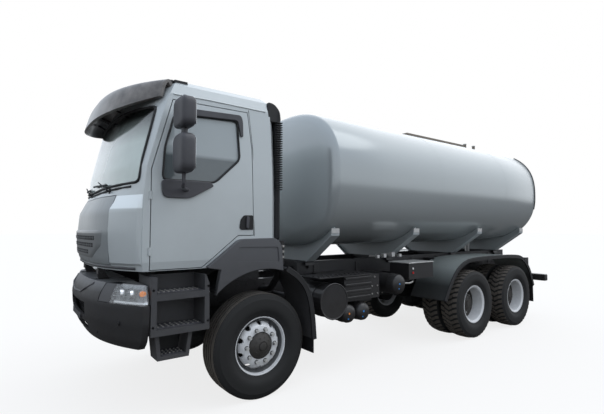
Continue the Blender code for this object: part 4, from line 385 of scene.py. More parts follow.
class Shape:
    """Points and faces of one piece, gathered before its mesh is made."""

    def __init__(self) -> None:
        """Starts empty."""
        self.points: List[Point] = []
        self.faces: List[Tuple[int, ...]] = []

    def add(self, points: Iterable[Sequence[float]], faces: Iterable[Sequence[int]]) -> "Shape":
        """Adds points and faces.

        Args:
            points: the new points.
            faces: their faces, which count from the first of them.

        Returns:
            This shape.
        """
        start = len(self.points)
        self.points += [tuple(point) for point in points]
        self.faces += [tuple(index + start for index in face) for face in faces]
        return self

    def rings(self, rows: Sequence[Sequence[Sequence[float]]], closed: bool = False, caps: bool = True,
              around: bool = True) -> "Shape":
        """Joins rows of equally many points.

        Args:
            rows: the rows in order.
            closed: whether the last row joins the first.
            caps: whether the first and last rows are filled.
            around: whether each row closes on itself.

        Returns:
            This shape.
        """
        count = len(rows[0])
        faces: List[Tuple[int, ...]] = []
        spans = len(rows) if closed else len(rows) - 1
        for row in range(spans):
            near = row * count
            far = (row + 1) % len(rows) * count
            for index in range(count if around else count - 1):
                after = (index + 1) % count
                faces.append((near + index, near + after, far + after, far + index))
        if caps and not closed:
            faces.append(tuple(range(count)))
            faces.append(tuple(range((len(rows) - 1) * count, len(rows) * count)))
        return self.add([point for row in rows for point in row], faces)

    def box(self, low: Sequence[float], high: Sequence[float]) -> "Shape":
        """Adds a box between two corners."""
        outline = ((low[0], low[1]), (high[0], low[1]), (high[0], high[1]), (low[0], high[1]))
        return self.rings([[(x, y, z) for x, y in outline] for z in (low[2], high[2])])

    def centred_box(self, centre: Sequence[float], size: Sequence[float]) -> "Shape":
        """Adds a box of a size about its centre."""
        low = [place - length / 2 for place, length in zip(centre, size)]
        return self.box(low, [place + length for place, length in zip(low, size)])

    def prism(self, outline: Sequence[Flat], axis: Axis, low: float, high: float) -> "Shape":
        """Runs a flat outline of the two other axes along one axis.

        Args:
            outline: its points.
            axis: the axis it is run along.
            low: where it starts.
            high: where it ends.

        Returns:
            This shape.
        """
        return self.rings([[placed(axis, along, flat) for flat in outline] for along in (low, high)])

    def tube(self, path: Sequence[Sequence[float]], radius: float, sides: int = 8, closed: bool = False,
             end_radius: Optional[float] = None) -> "Shape":
        """Adds a round bar along a path.

        Args:
            path: the centre line.
            radius: the bar's radius.
            sides: how many sides the section has.
            closed: whether the path is a loop.
            end_radius: the radius at the path's end, where it differs.

        Returns:
            This shape.
        """
        points = [Vector(point) for point in path]
        rows = []
        normal: Optional[Vector] = None
        for index, point in enumerate(points):
            before = points[index - 1] if index or closed else point
            after = points[(index + 1) % len(points)] if index < len(points) - 1 or closed else point
            along = (after - before).normalized()
            if normal is None:
                normal = along.orthogonal().normalized()
            normal = (normal - along * normal.dot(along)).normalized()
            side = along.cross(normal)
            share = index / (len(points) - 1)
            size = radius if end_radius is None else radius + (end_radius - radius) * share
            turns = [math.tau * step / sides for step in range(sides)]
            rows.append([point + (normal * math.cos(turn) + side * math.sin(turn)) * size for turn in turns])
        return self.rings(rows, closed=closed)

    def turned(self, profile: Sequence[Flat], centre: Sequence[float], steps: int = 64, axis: Axis = Axis.X,
               closed: bool = True) -> "Shape":
        """Turns a profile about an axis.

        Args:
            profile: points of distance along the axis and radius.
            centre: a point that the axis goes through.
            steps: how many sides it gets.
            axis: the axis.
            closed: whether the profile closes on itself.

        Returns:
            This shape.
        """
        rows = []
        for step in range(steps):
            turn = math.tau * step / steps
            row = []
            for along, radius in profile:
                point = placed(axis, along, (radius * math.cos(turn), radius * math.sin(turn)))
                row.append([place + offset for place, offset in zip(centre, point)])
            rows.append(row)
        return self.rings(rows, closed=True, around=closed)

    def bolts(self, centre: Sequence[float], circle: float, count: int, radius: float,
              height: float) -> "Shape":
        """Adds six-sided nuts on a circle about the X axis.

        Args:
            centre: the circle's middle, at the nuts' feet.
            circle: the circle's radius.
            count: how many nuts it has.
            radius: a nut's radius.
            height: how far the nuts stand out along X.

        Returns:
            This shape.
        """
        for number in range(count):
            angle = math.tau * number / count
            foot = Vector(centre) + Vector((0, math.cos(angle), math.sin(angle))) * circle
            self.tube((foot, foot + Vector((height, 0, 0))), radius, 6)
        return self

    def shell(self, outer: Sequence[Sequence[Point]], inner: Sequence[Sequence[Point]]) -> "Shape":
        """Adds a closed plate between two grids of equally many points."""
        return self.rings([list(front) + list(back)[::-1] for front, back in zip(outer, inner)])

    def pod(self, centre: Point, size: Point, power: float = 4.0, levels: int = 18,
            sides: int = 36) -> "Shape":
        """Adds a box with softly rounded sides, corners and ends.

        Args:
            centre: its middle.
            size: its three sizes.
            power: how square it is, with 2 for an ellipsoid.
            levels: how many rows of faces it has.
            sides: how many faces a row has.

        Returns:
            This shape.
        """
        def bent(share: float) -> float:
            """A sine or cosine whose curve is squared off."""
            return math.copysign(abs(share) ** (2 / power), share)

        rows = []
        for level in range(1, levels):
            lean = -math.pi / 2 + math.pi * level / levels
            scale = abs(bent(math.cos(lean)))
            row = []
            for step in range(sides):
                turn = math.tau * (step + 0.5) / sides
                shares = (bent(math.cos(turn)) * scale, bent(math.sin(turn)) * scale, bent(math.sin(lean)))
                row.append([at + share * length / 2 for at, share, length in zip(centre, shares, size)])
            rows.append(row)
        return self.rings(rows)

    def mirrored(self) -> "Shape":
        """The same shape on the truck's other side."""
        other = Shape()
        return other.add([(-x, y, z) for x, y, z in self.points], [face[::-1] for face in self.faces])

    def on(self, side: Side) -> "Shape":
        """The shape on one side, when it is laid out on the left."""
        return self if side is Side.LEFT else self.mirrored()

    def mesh(self, name: str, weld: bool = True) -> bpy.types.Mesh:
        """Makes the shape's mesh in the row frame.

        Args:
            name: the mesh's name.
            weld: whether points at one place become one.

        Returns:
            The mesh.
        """
        shape = bmesh.new()
        points = [shape.verts.new((x, y + FRONT_AXLE_Y, z)) for x, y, z in self.points]
        for face in self.faces:
            shape.faces.new([points[index] for index in face])
        if weld:
            bmesh.ops.remove_doubles(shape, verts=shape.verts, dist=0.00002)
        bmesh.ops.recalc_face_normals(shape, faces=shape.faces)
        mesh = bpy.data.meshes.new(name)
        shape.to_mesh(mesh)
        shape.free()
        return mesh

    def made(self, name: str, finish: Finish, body: str, slot: str, bevel: float = 0.0, angle: float = 32.0,
             stands_for: Sequence[str] = ()) -> bpy.types.Object:
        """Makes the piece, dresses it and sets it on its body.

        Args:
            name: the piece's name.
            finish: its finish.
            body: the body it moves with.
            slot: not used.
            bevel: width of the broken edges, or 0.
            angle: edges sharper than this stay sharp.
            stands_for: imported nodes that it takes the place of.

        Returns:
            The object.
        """
        mesh = self.mesh(name)
        obj = bpy.data.objects.new(name, mesh)
        bpy.context.scene.collection.objects.link(obj)
        mesh.materials.append(finish.material())
        if bevel:
            soften(obj, bevel)
        mesh.shade_smooth()
        mesh.set_sharp_from_angle(angle=math.radians(angle))
        if stands_for:
            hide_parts(*stands_for)
        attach(obj, body)
        LOG.info("%s rides on %s", name, body)
        return obj

    def made_pair(self, name: str, finish: Finish, bodies: Dict[Side, str], slot: str, bevel: float = 0.0,
                  angle: float = 32.0, stands_for: Sequence[str] = ()) -> None:
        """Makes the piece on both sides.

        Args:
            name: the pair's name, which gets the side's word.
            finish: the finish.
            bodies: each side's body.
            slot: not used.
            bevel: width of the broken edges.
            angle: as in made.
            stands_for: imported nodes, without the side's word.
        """
        for side in Side:
            nodes = [f"{node}_{side.word}" for node in stands_for]
            self.on(side).made(f"{name}_{side.word}", finish, bodies[side], slot, bevel, angle, nodes)


def soften(obj: bpy.types.Object, width: float) -> None:
    """Breaks an object's sharp edges with a Bevel modifier."""
    bevel = obj.modifiers.new("soft_edges", "BEVEL")
    bevel.width = width
    bevel.segments = 2
    bevel.limit_method = "ANGLE"
    bevel.angle_limit = math.radians(38)


def columns(table: Sequence[Sequence[float]], height: float) -> List[float]:
    """Reads a table of sections at one height.

    Args:
        table: rows that start with their height.
        height: where it is read.

    Returns:
        The other columns.
    """
    for lower, upper in zip(table, table[1:]):
        if height <= upper[0] or upper is table[-1]:
            share = (height - lower[0]) / (upper[0] - lower[0])
            return [a + (b - a) * share for a, b in zip(lower[1:], upper[1:])]
    return list(table[-1][1:])


@dataclass(frozen=True)
class Skin:
    """A body's bowed front, given by sections at several heights."""

    table: Tuple[Numbers, ...]
    curve: float

    def half(self, z: float) -> float:
        """Half the width at a height."""
        return columns(self.table, z)[0]

    def front(self, x: float, z: float, smooth: bool = False) -> float:
        """Where the front lies.

        Args:
            x: distance from the centre line.
            z: height.
            smooth: whether the bow is a true curve and not the solid's chords.

        Returns:
            The place along the truck.
        """
        half, front, corner, _ = columns(self.table, z)
        share = min(abs(x) / half, 1.0)
        bow = share**self.curve
        if not smooth:
            for low, high in zip(FRONT_SHARES, FRONT_SHARES[1:]):
                if low <= share <= high:
                    near, far = low**self.curve, high**self.curve
                    bow = near + (far - near) * (share - low) / (high - low)
        return front + (corner - front) * bow


CAB_SKIN = Skin(CAB_SECTIONS, 2.8)
BUMPER_SKIN = Skin(BUMPER_SECTIONS, 2.6)


def chased(path: Sequence[Flat], rounds: int = 3) -> List[Flat]:
    """Cuts the corners of an open path until it runs smoothly.

    Args:
        path: its points.
        rounds: how often the corners are cut.

    Returns:
        The smooth path.
    """
    points = [tuple(point) for point in path]
    for _ in range(rounds):
        cut: List[Flat] = [points[0]]
        for (ax, ay), (bx, by) in zip(points, points[1:]):
            cut.append((ax * 0.75 + bx * 0.25, ay * 0.75 + by * 0.25))
            cut.append((ax * 0.25 + bx * 0.75, ay * 0.25 + by * 0.75))
        points = cut + [points[-1]]
    return points


def walled(path: Sequence[Flat], wall: float) -> List[Flat]:
    """Gives a path a wall on its right-hand side.

    Args:
        path: its points.
        wall: the wall's thickness.

    Returns:
        One closed outline.
    """
    inner = []
    for index, point in enumerate(path):
        before = Vector(path[max(index - 1, 0)])
        after = Vector(path[min(index + 1, len(path) - 1)])
        along = (after - before).normalized()
        inner.append((point[0] + along.y * wall, point[1] - along.x * wall))
    return list(path) + inner[::-1]


def stepped(outline: Sequence[Flat], steps: int, closed: bool = True) -> List[Flat]:
    """Splits each edge of an outline into equal steps.

    Args:
        outline: its points.
        steps: how many steps an edge gets.
        closed: whether the last point joins the first.

    Returns:
        The finer outline.
    """
    points: List[Flat] = []
    ends = list(outline[1:]) + ([outline[0]] if closed else [])
    for start, end in zip(outline, ends):
        for step in range(steps):
            share = step / steps
            points.append((start[0] + (end[0] - start[0]) * share, start[1] + (end[1] - start[1]) * share))
    if not closed:
        points.append(tuple(outline[-1]))
    return points


def rounded(outline: Sequence[Flat], radius: float, steps: int = 4) -> List[Flat]:
    """Turns the corners of an outline into arcs.

    Args:
        outline: its points.
        radius: about the radius of each arc.
        steps: how many steps an arc has.

    Returns:
        The rounded outline.
    """
    points: List[Flat] = []
    for index, corner in enumerate(outline):
        here = Vector(corner)
        before = Vector(outline[index - 1]) - here
        after = Vector(outline[(index + 1) % len(outline)]) - here
        reach = min(radius, before.length * 0.45, after.length * 0.45)
        start = here + before.normalized() * reach
        end = here + after.normalized() * reach
        for step in range(steps + 1):
            share = step / steps
            low = start.lerp(here, share)
            points.append(tuple(low.lerp(here.lerp(end, share), share)))
    return points


CAB_SIDES = {side: "cab" for side in Side}
CHASSIS = {side: "chassis" for side in Side}
DOORS = {side: f"{side.word}_door" for side in Side}


@dataclass
class Tyre:
    """A tyre with its sidewall rings and tread, in place of its plain solid."""

    radius: float = WHEEL_Z
    bead_radius: float = 0.2868
    half_width: float = 0.1570
    tread_half: float = 0.122
    steps: int = 96
    groove: float = 0.012
    grooves: Numbers = (-0.072, -0.024, 0.024, 0.072)
    groove_section: Outline = ((-0.007, 0.0), (-0.005, 1.0), (0.005, 1.0), (0.007, 0.0))
    rib_rise: float = 0.0012
    rib_depth: float = 0.006
    rib_slope: float = 0.0035
    rib_edges: Outline = (
        (-0.122, -0.079), (-0.065, -0.031), (-0.017, 0.017), (0.031, 0.065), (0.079, 0.122))
    shoulder_blocks: Tuple[Block, ...] = ((-0.132, -0.122, 0.0), (0.122, 0.132, 0.0))
    shoulder_count: int = 72
    lugs: Tuple[Block, ...] = (
        (-0.137, -0.070, 0.25), (-0.062, -0.004, 0.4), (0.004, 0.062, -0.4), (0.070, 0.137, -0.25))
    lug_count: int = 40
    block_share: float = 0.62
    block_chord_share: float = 0.3
    block_sink: float = 0.002
    block_taper: float = 0.05
    shoulder_drop: float = 0.010

    def section(self, tread: float) -> List[Flat]:
        """Half of the section, from the tread's middle to the bead.

        Args:
            tread: the tread's radius.

        Returns:
            Points of distance from the middle and radius.
        """
        radius, bead, half, wide = self.radius, self.bead_radius, self.tread_half, self.half_width
        tall = radius - bead
        return [
            (half * 0.6, tread), (half, tread - 0.004), (half + 0.012, radius - 0.016),
            (wide - 0.014, radius - 0.034), (wide - 0.008, radius - tall * 0.22),
            (wide - 0.004, radius - tall * 0.24), (wide - 0.001, radius - tall * 0.42),
            (wide, radius - tall * 0.50), (wide - 0.001, radius - tall * 0.60),
            (wide - 0.008, radius - tall * 0.74), (wide - 0.012, radius - tall * 0.76),
            (wide - 0.022, bead + tall * 0.12), (wide - 0.030, bead + 0.014), (wide - 0.040, bead + 0.002),
        ]

    def carcass(self, tread: float, ribs: bool) -> List[Flat]:
        """The whole closed section.

        Args:
            tread: the tread's radius.
            ribs: whether grooves run around it.

        Returns:
            Points of distance from the middle and radius.
        """
        half = self.section(tread)
        middle: List[Flat] = [(0.0, tread)]
        if ribs:
            middle = []
            for groove in self.grooves:
                for along, share in self.groove_section:
                    middle.append((groove + along, tread - self.groove * share))
        left = [(-along, radius) for along, radius in reversed(half)]
        return left[:-1] + middle + half[1:] if ribs else left + half

    def block_ring(self, row: Block, start: float, pitch: float, radius: float, taper: float) -> List[Point]:
        """One level of a tread block, about the wheel's middle.

        Args:
            row: the block's low edge, high edge and lean.
            start: the angle at which it starts.
            pitch: the angle from block to block.
            radius: the level's radius.
            taper: how far its ends draw in, 0 at the foot.

        Returns:
            The four corners.
        """
        low, high, lean = row
        middle = start + (self.block_share / 2 + lean / 2) * pitch
        ring = []
        for along, turn in ((low, start), (high, start + lean * pitch),
                            (high, start + (lean + self.block_share) * pitch),
                            (low, start + self.block_share * pitch)):
            turn = turn + (middle - turn) * taper
            drop = self.shoulder_drop * (abs(along) / self.tread_half) ** 4 if taper else 0.0
            reach = radius - drop
            ring.append((along, reach * math.cos(turn), reach * math.sin(turn)))
        return ring

    def blocks(self, shape: Shape, centre: Point, rows: Sequence[Block], count: int) -> None:
        """Adds the tread's blocks.

        Args:
            shape: the shape they go into.
            centre: the wheel's centre.
            rows: low edge, high edge and lean of each row of blocks across the tread.
            count: how many blocks go round.
        """
        pitch = math.tau / count
        foot = self.radius - self.groove - self.block_sink
        top = self.radius * math.cos(pitch * self.block_chord_share)
        for number, row in enumerate(rows):
            for step in range(count):
                start = pitch * (step + (number % 2) * 0.5)
                block = [self.block_ring(row, start, pitch, radius, taper)
                         for radius, taper in ((foot, 0.0), (top, self.block_taper))]
                shape.rings([[[place + part for place, part in zip(centre, point)] for point in ring]
                             for ring in block])

    def ribs(self, shape: Shape, centre: Point) -> None:
        """Adds the ribs that run around a steered wheel's tread."""
        for edges in self.rib_edges:
            low, high = (self.radius - (self.rib_slope if abs(edge) > self.tread_half * 0.9 else 0.0)
                         for edge in edges)
            shape.turned([(edges[0], low - self.rib_depth), (edges[0], low), (edges[1], high),
                          (edges[1], high - self.rib_depth)], centre, self.steps)

    def build(self, node: str, x: float, y: float, body: str, ribs: bool) -> None:
        """Makes one tyre.

        Args:
            node: the solid that it takes the place of.
            x: its place across the truck.
            y: its place along the truck.
            body: the wheel's body.
            ribs: ribs all round for a steered wheel, else cross blocks.
        """
        centre = (x, y, WHEEL_Z)
        tread_radius = self.radius - (self.rib_rise if ribs else self.groove)
        wall = Shape().turned(self.carcass(tread_radius, ribs), centre, self.steps)
        wall.made(f"{node}_carcass", RUBBER, body, "rubber", angle=28, stands_for=[node])
        tread = Shape()
        if ribs:
            self.blocks(tread, centre, self.shoulder_blocks, self.shoulder_count)
            self.ribs(tread, centre)
        else:
            self.blocks(tread, centre, self.lugs, self.lug_count)
        tread.made(f"{node}_tread", TREAD_RUBBER, body, "rubber", angle=20)


@dataclass
class FrontRim:
    """The steered wheel's disc rim with round hand holes, nuts and hub."""

    half: float = 0.115
    seat: float = 0.2862
    lip: float = 0.2985
    barrel: float = 0.262
    face: float = 0.118
    steps: int = 80
    holes: int = 10
    hole_circle: float = 0.234
    hole_radius: float = 0.0270
    hole_reach: float = 0.12
    nut_circle: float = 0.1675
    nut_radius: float = 0.0175
    nut_height: float = 0.034
    nut_shade_radius: float = 0.0235
    nut_shade_height: float = 0.005
    screw_face: float = 0.140
    screw_circle: float = 0.086
    screw_radius: float = 0.006
    screw_height: float = 0.016
    drum: Outline = (
        (-0.10, 0.05), (-0.10, 0.20), (-0.02, 0.205), (0.03, 0.19), (0.05, 0.12), (0.05, 0.05))

    def profile(self) -> List[Flat]:
        """The rim's and disc's closed section."""
        half, seat, lip, barrel, face = self.half, self.seat, self.lip, self.barrel, self.face
        return [
            (-half - 0.012, lip), (-half - 0.010, seat + 0.002), (-half, seat), (half, seat),
            (half + 0.008, seat + 0.004), (half + 0.012, lip), (half + 0.0125, lip - 0.004),
            (half + 0.009, seat + 0.001), (half - 0.020, seat - 0.008), (0.050, barrel + 0.008),
            (0.036, barrel - 0.003), (0.042, 0.252), (0.066, 0.242), (face - 0.020, 0.224),
            (face - 0.004, 0.206), (face, 0.200), (face, 0.140), (face - 0.012, 0.138),
            (face - 0.014, 0.196), (face - 0.032, 0.214), (0.052, 0.234), (0.026, 0.246), (0.010, 0.256),
            (-half, barrel), (-half - 0.008, seat - 0.008),
        ]

    def hub(self) -> List[Flat]:
        """The hub's open profile, from its middle inside to its middle outside."""
        face = self.face
        return [
            (0.06, 0.0), (0.06, 0.120), (face - 0.008, 0.136), (face + 0.004, 0.132), (0.136, 0.114),
            (0.149, 0.092), (0.160, 0.070), (0.166, 0.052), (0.160, 0.050), (0.160, 0.044), (0.172, 0.040),
            (0.1765, 0.026), (0.1765, 0.0),
        ]

    def gutter(self) -> List[Flat]:
        """The closed section of the dark ring that lies in the rim's gutter as painted shade."""
        bead = self.half - 0.020
        seat, barrel = self.seat, self.barrel
        return [
            (bead, seat - 0.0088), (0.050, barrel + 0.0072), (0.0368, barrel - 0.0036), (0.0424, 0.2512),
            (0.066, 0.2411), (0.066, 0.2425), (0.041, 0.2526), (0.035, 0.2590), (0.049, 0.2704),
            (bead, seat - 0.0072),
        ]

    def disc(self, side: Side) -> None:
        """Makes one side's rim and drills its hand holes."""
        centre = (FRONT_WHEEL_X, 0.0, WHEEL_Z)
        rim = Shape().turned(self.profile(), centre, self.steps).on(side)
        disc = rim.made(f"front_rim_{side.word}_disc", RIM_PAINT, f"front_wheel_{side.word}", "rim_silver",
                        angle=40, stands_for=[f"front_rim_{side.word}"])
        cutter = Shape()
        for hole in range(self.holes):
            angle = math.tau * (hole + 0.5) / self.holes
            middle = Vector((0, math.cos(angle), math.sin(angle))) * self.hole_circle + Vector(centre)
            reach = Vector((self.hole_reach, 0, 0))
            cutter.tube((middle - reach / 4, middle + reach), self.hole_radius, 20)
        drilled(disc, cutter.on(side))

    def build(self, side: Side) -> None:
        """Makes one side's rim, nuts and hub."""
        self.disc(side)
        centre = (FRONT_WHEEL_X, 0.0, WHEEL_Z)
        foot = (FRONT_WHEEL_X + self.face, 0, WHEEL_Z)
        nuts = Shape().bolts(foot, self.nut_circle, self.holes, self.nut_radius, self.nut_height)
        # Dark rings under the nuts: painted shade round each nut.
        seats = Shape().bolts(foot, self.nut_circle, self.holes, self.nut_shade_radius, self.nut_shade_height)
        hub = Shape().turned(self.hub(), centre, 40, closed=False)
        hub.bolts((FRONT_WHEEL_X + self.screw_face, 0, WHEEL_Z), self.screw_circle, 10, self.screw_radius,
                  self.screw_height)
        gutter = Shape().turned(self.gutter(), centre, self.steps)
        drum = Shape().turned(self.drum, centre, 40)
        for name, shape, finish in (("nuts", nuts, NUT_STEEL), ("nut_shade_rings", seats, CAST_IRON),
                                    ("gutter", gutter, RIM_PAINTED_SHADE), ("hub", hub, HUB_IRON),
                                    ("drum", drum, CAST_IRON)):
            body = f"front_wheel_{side.word}"
            shape.on(side).made(f"{body}_{name}", finish, body, "rim_silver")


def drilled(obj: bpy.types.Object, cutter: Shape) -> None:
    """Cuts a shape out of a piece and keeps the result as the piece's own mesh.

    Args:
        obj: the piece.
        cutter: the shape.
    """
    tool = bpy.data.objects.new("cutter", cutter.mesh("cutter", weld=False))
    bpy.context.scene.collection.objects.link(tool)
    change = obj.modifiers.new("holes", "BOOLEAN")
    change.operation = "DIFFERENCE"
    change.solver = "EXACT"
    change.object = tool
    tool.matrix_world = obj.matrix_world.copy()
    bpy.context.view_layer.update()
    result = bpy.data.meshes.new_from_object(obj.evaluated_get(bpy.context.evaluated_depsgraph_get()))
    obj.modifiers.clear()
    obj.data = result
    bpy.data.objects.remove(tool, do_unlink=True)


@dataclass
class TwinRims:
    """A driven axle end's two rims with the deep dish, nuts and long hub."""

    half: float = 0.115
    seat: float = 0.2862
    lip: float = 0.2985
    barrel: float = 0.262
    plate: float = 0.018
    face: float = 0.095
    steps: int = 72
    nuts: int = 10
    nut_circle: float = 0.1750
    nut_radius: float = 0.0165
    nut_height: float = 0.032
    screws: int = 12
    screw_face: float = 0.192
    screw_circle: float = 0.088
    screw_radius: float = 0.006
    screw_height: float = 0.012
    drum: Outline = ((-0.305, 0.07), (-0.305, 0.198), (-0.03, 0.198), (-0.025, 0.07))

    def profile(self) -> List[Flat]:
        """The closed section of both rims and the disc between them."""
        outer, half, seat, lip = TWIN_OFFSET, self.half, self.seat, self.lip
        barrel, plate = self.barrel, self.plate
        return [
            (outer - half - 0.012, lip), (outer - half, seat), (outer + half, seat),
            (outer + half + 0.012, lip), (outer + half + 0.0125, lip - 0.004),
            (outer + half + 0.008, seat - 0.006), (outer + half - 0.006, barrel),
            (outer + half - 0.05, barrel - 0.004), (outer - half + 0.02, barrel - 0.010),
            (outer - half, barrel - 0.018), (plate + 0.018, 0.218), (plate, 0.200), (plate, 0.12),
            (plate - 0.014, 0.12), (-plate, 0.200), (-plate - 0.018, 0.218),
            (-outer + half, barrel - 0.018), (-outer - half + 0.01, barrel),
            (-outer - half - 0.008, seat - 0.008), (-outer - half - 0.012, lip), (-outer - half, seat),
            (-outer + half, seat), (-outer + half + 0.012, lip), (-outer + half + 0.016, barrel),
            (outer - half - 0.016, barrel),
        ]

    def hub(self) -> List[Flat]:
        """The hub's open profile, from its middle inside to its middle outside."""
        return [
            (-0.02, 0.0), (-0.02, 0.140), (self.face, 0.148), (0.12, 0.145), (0.16, 0.136), (0.185, 0.120),
            (0.196, 0.104), (0.199, 0.060), (0.209, 0.056), (0.212, 0.0),
        ]

    def dark_disc(self) -> List[Flat]:
        """The closed section of the dark face laid on the disc as painted shade in its deep dish."""
        back = self.face - 0.012
        return [(back, 0.130), (self.face, 0.130), (self.face, 0.205), (self.face + 0.010, 0.228),
                (self.face + 0.026, 0.2515), (back, 0.2515)]

    def build(self, axle: str, y: float, side: Side) -> None:
        """Makes one axle end's rims, nuts and hub.

        Args:
            axle: the axle's word in names.
            y: its place along the truck.
            side: its side.
        """
        body = f"twin_wheel_{axle}_{side.word}"
        centre = (TWIN_WHEEL_X, y, WHEEL_Z)
        rim = Shape().turned(self.profile(), centre, self.steps)
        nuts = Shape().bolts((TWIN_WHEEL_X + self.face, y, WHEEL_Z), self.nut_circle, self.nuts,
                             self.nut_radius, self.nut_height)
        hub = Shape().turned(self.hub(), centre, 48, closed=False)
        hub.bolts((TWIN_WHEEL_X + self.screw_face, y, WHEEL_Z), self.screw_circle, self.screws,
                  self.screw_radius, self.screw_height)
        # A dark face on the deep disc: painted shade in the dish.
        shade = Shape().turned(self.dark_disc(), centre, self.steps)
        drum = Shape().turned(self.drum, centre, 40)
        parts = (("discs", rim, RIM_PAINT, [f"twin_rims_{axle}_{side.word}"]),
                 ("nuts", nuts, BOLT_STEEL, []),
                 ("disc_shade_faces", shade, HUB_IRON, []), ("hub", hub, HUB_IRON, []),
                 ("drum", drum, CAST_IRON, []))
        for name, shape, finish, nodes in parts:
            shape.on(side).made(f"{body}_{name}", finish, body, "rim_silver", angle=40, stands_for=nodes)


@dataclass
class Cab:
    """The cab's smooth front pieces and its trim, from the seals and the shield to the mirrors."""

    seal: float = 0.013
    screen: Outline = (
        (1.105, 2.175), (1.06, 2.90), (0.0, 2.93), (-1.06, 2.90), (-1.105, 2.175), (0.0, 2.14))
    shield: Outline = ((1.475, 0.45), (1.60, 0.67), (1.745, 0.70))
    panel_half: float = 0.794
    panel_low: float = 1.4265
    panel_high: float = 2.0635
    slots: Outline = ((1.512, 0.37), (1.580, 0.52), (1.648, 0.56))
    slot_height: float = 0.040
    slot_bar_pitch: float = 0.066
    window: Outline = (
        (-1.052, 2.205), (-0.545, 2.205), (-0.272, 2.46), (-0.300, 2.86), (-0.945, 2.83), (-1.035, 2.50))
    corner_low: float = 1.43
    corner_high: float = 2.06
    corner_rise: float = 0.032
    visor_half: float = 1.10
    visor_wall: float = 0.028
    visor_lines: Tuple[Numbers, ...] = (
        (-1.142, 3.060, 0.230, 0.000), (-1.255, 3.125, 0.300, 0.010), (-1.372, 3.158, 0.385, 0.015),
        (-1.440, 3.085, 0.400, 0.045), (-1.498, 2.868, 0.430, 0.120))
    struts: Numbers = (-0.75, -0.25, 0.25, 0.75)
    wipers: Outline = ((0.62, 0.02), (-0.12, -0.86))
    rib_foot: float = 2.18
    rib_pitch: float = 0.0255
    rib_height: float = 0.012
    rib_count: int = 30
    mirror_x: float = 1.43
    mirror_y: float = -0.95
    mirror_levels: Outline = ((2.240, 2.585), (2.635, 2.905))
    mirror_glass: Outline = ((2.275, 2.55), (2.665, 2.875))
    arm_radius: float = 0.017

    def on_front(self, outline: Sequence[Flat], lift: float, smooth: bool = True) -> List[Point]:
        """Points of a front outline set out from the cab's skin by lift."""
        return [(x, CAB_SKIN.front(x, z, smooth) - lift, z) for x, z in outline]

    def on_side(self, outline: Sequence[Flat], lift: float) -> List[Point]:
        """Points of a side outline set out from the cab's left skin by lift."""
        return [(CAB_SKIN.half(z) + lift, y, z) for y, z in outline]

    def plate(self, outline: Sequence[Flat], low: float, high: float) -> Shape:
        """A plate of a side outline between two distances from the cab's left skin."""
        return Shape().rings([self.on_side(outline, low), self.on_side(outline, high)])

    def panel(self) -> None:
        """Makes the front panel with its shield, slots and rim."""
        across = [self.panel_half * (step / 20 - 1) for step in range(41)]
        heights = [self.panel_low + (self.panel_high - self.panel_low) * step / 24 for step in range(25)]
        outer, inner = ([self.on_front([(x, z) for x in across], lift) for z in heights]
                        for lift in (0.0, -0.03))
        # The panel's darker paint is painted shade.
        Shape().shell(outer, inner).made("front_panel_skin", PANEL_SHADED_PAINT, "front_flap", "silver_paint",
                                         angle=50, stands_for=["front_panel"])
        low, high = self.shield[0][0], self.shield[-1][0]
        levels = [low + (high - low) * step / 16 for step in range(17)]
        pad, rim = [], []
        for number, z in enumerate(levels):
            wide = self.shield_half(z)
            row = []
            for step in range(33):
                share = step / 16 - 1
                edge = min(1.0, (1 - abs(share)) * 12, number * 1.2, (len(levels) - 1 - number) * 1.2)
                row.append((share * wide, CAB_SKIN.front(share * wide, z, True) - 0.012 * edge - 0.0005, z))
            pad.append(row)
            rim.append([(x, CAB_SKIN.front(x, z, True) + 0.004, z) for x, _, z in row])
        Shape().shell(pad, rim).made("shield", SHIELD_PAINT, "front_flap", "silver_paint", angle=40)
        slots, bars = Shape(), Shape()
        shares = [step / 20 - 1 for step in range(41)]
        for z, reach in self.slots:
            top = z + self.slot_height
            edges = ((z, 0.0110), (z, 0.0138), (top, 0.0138), (top, 0.0110))
            slots.rings([[self.on_front([(reach * share, height)], lift)[0] for height, lift in edges]
                         for share in shares])
            middle = z + self.slot_height / 2
            line = stepped([(-reach, middle), (reach, middle)], 24, False)
            bars.tube(self.on_front(line, 0.0150), 0.0018, 6)
            for number in range(-8, 9):
                x = number * self.slot_bar_pitch
                if abs(x) < reach:
                    bars.tube(self.on_front([(x, z + 0.003), (x, top - 0.003)], 0.0150), 0.0022, 6)
        slots.made("shield_slots", GRILLE_DARK, "front_flap", "grey_plastic")
        bars.made("shield_bars", SHIELD_PAINT, "front_flap", "silver_paint")

    def shield_half(self, z: float) -> float:
        """Half the shield's width at a height."""
        for (low, narrow), (high, wide) in zip(self.shield, self.shield[1:]):
            if z <= high:
                return narrow + (wide - narrow) * (z - low) / (high - low)
        return self.shield[-1][1]

    def glass(self) -> None:
        """Makes the windscreen as one smooth bent pane."""
        rows = []
        for level in range(25):
            rise = level / 24
            row = []
            for step in range(41):
                share = step / 20 - 1
                x = share * (1.098 + (1.054 - 1.098) * rise)
                low = 2.146 + (2.181 - 2.146) * abs(share)
                high = 2.924 + (2.894 - 2.924) * abs(share)
                row.append((x, low + (high - low) * rise))
            rows.append(row)
        outer, inner = ([self.on_front(row, lift) for row in rows] for lift in (-0.002, -0.009))
        # The pane's finish darkens its top as painted shade of the visor.
        Shape().shell(outer, inner).made("windscreen_pane", CAB_GLASS, "cab", "glass", angle=50,
                                         stands_for=["windscreen"])

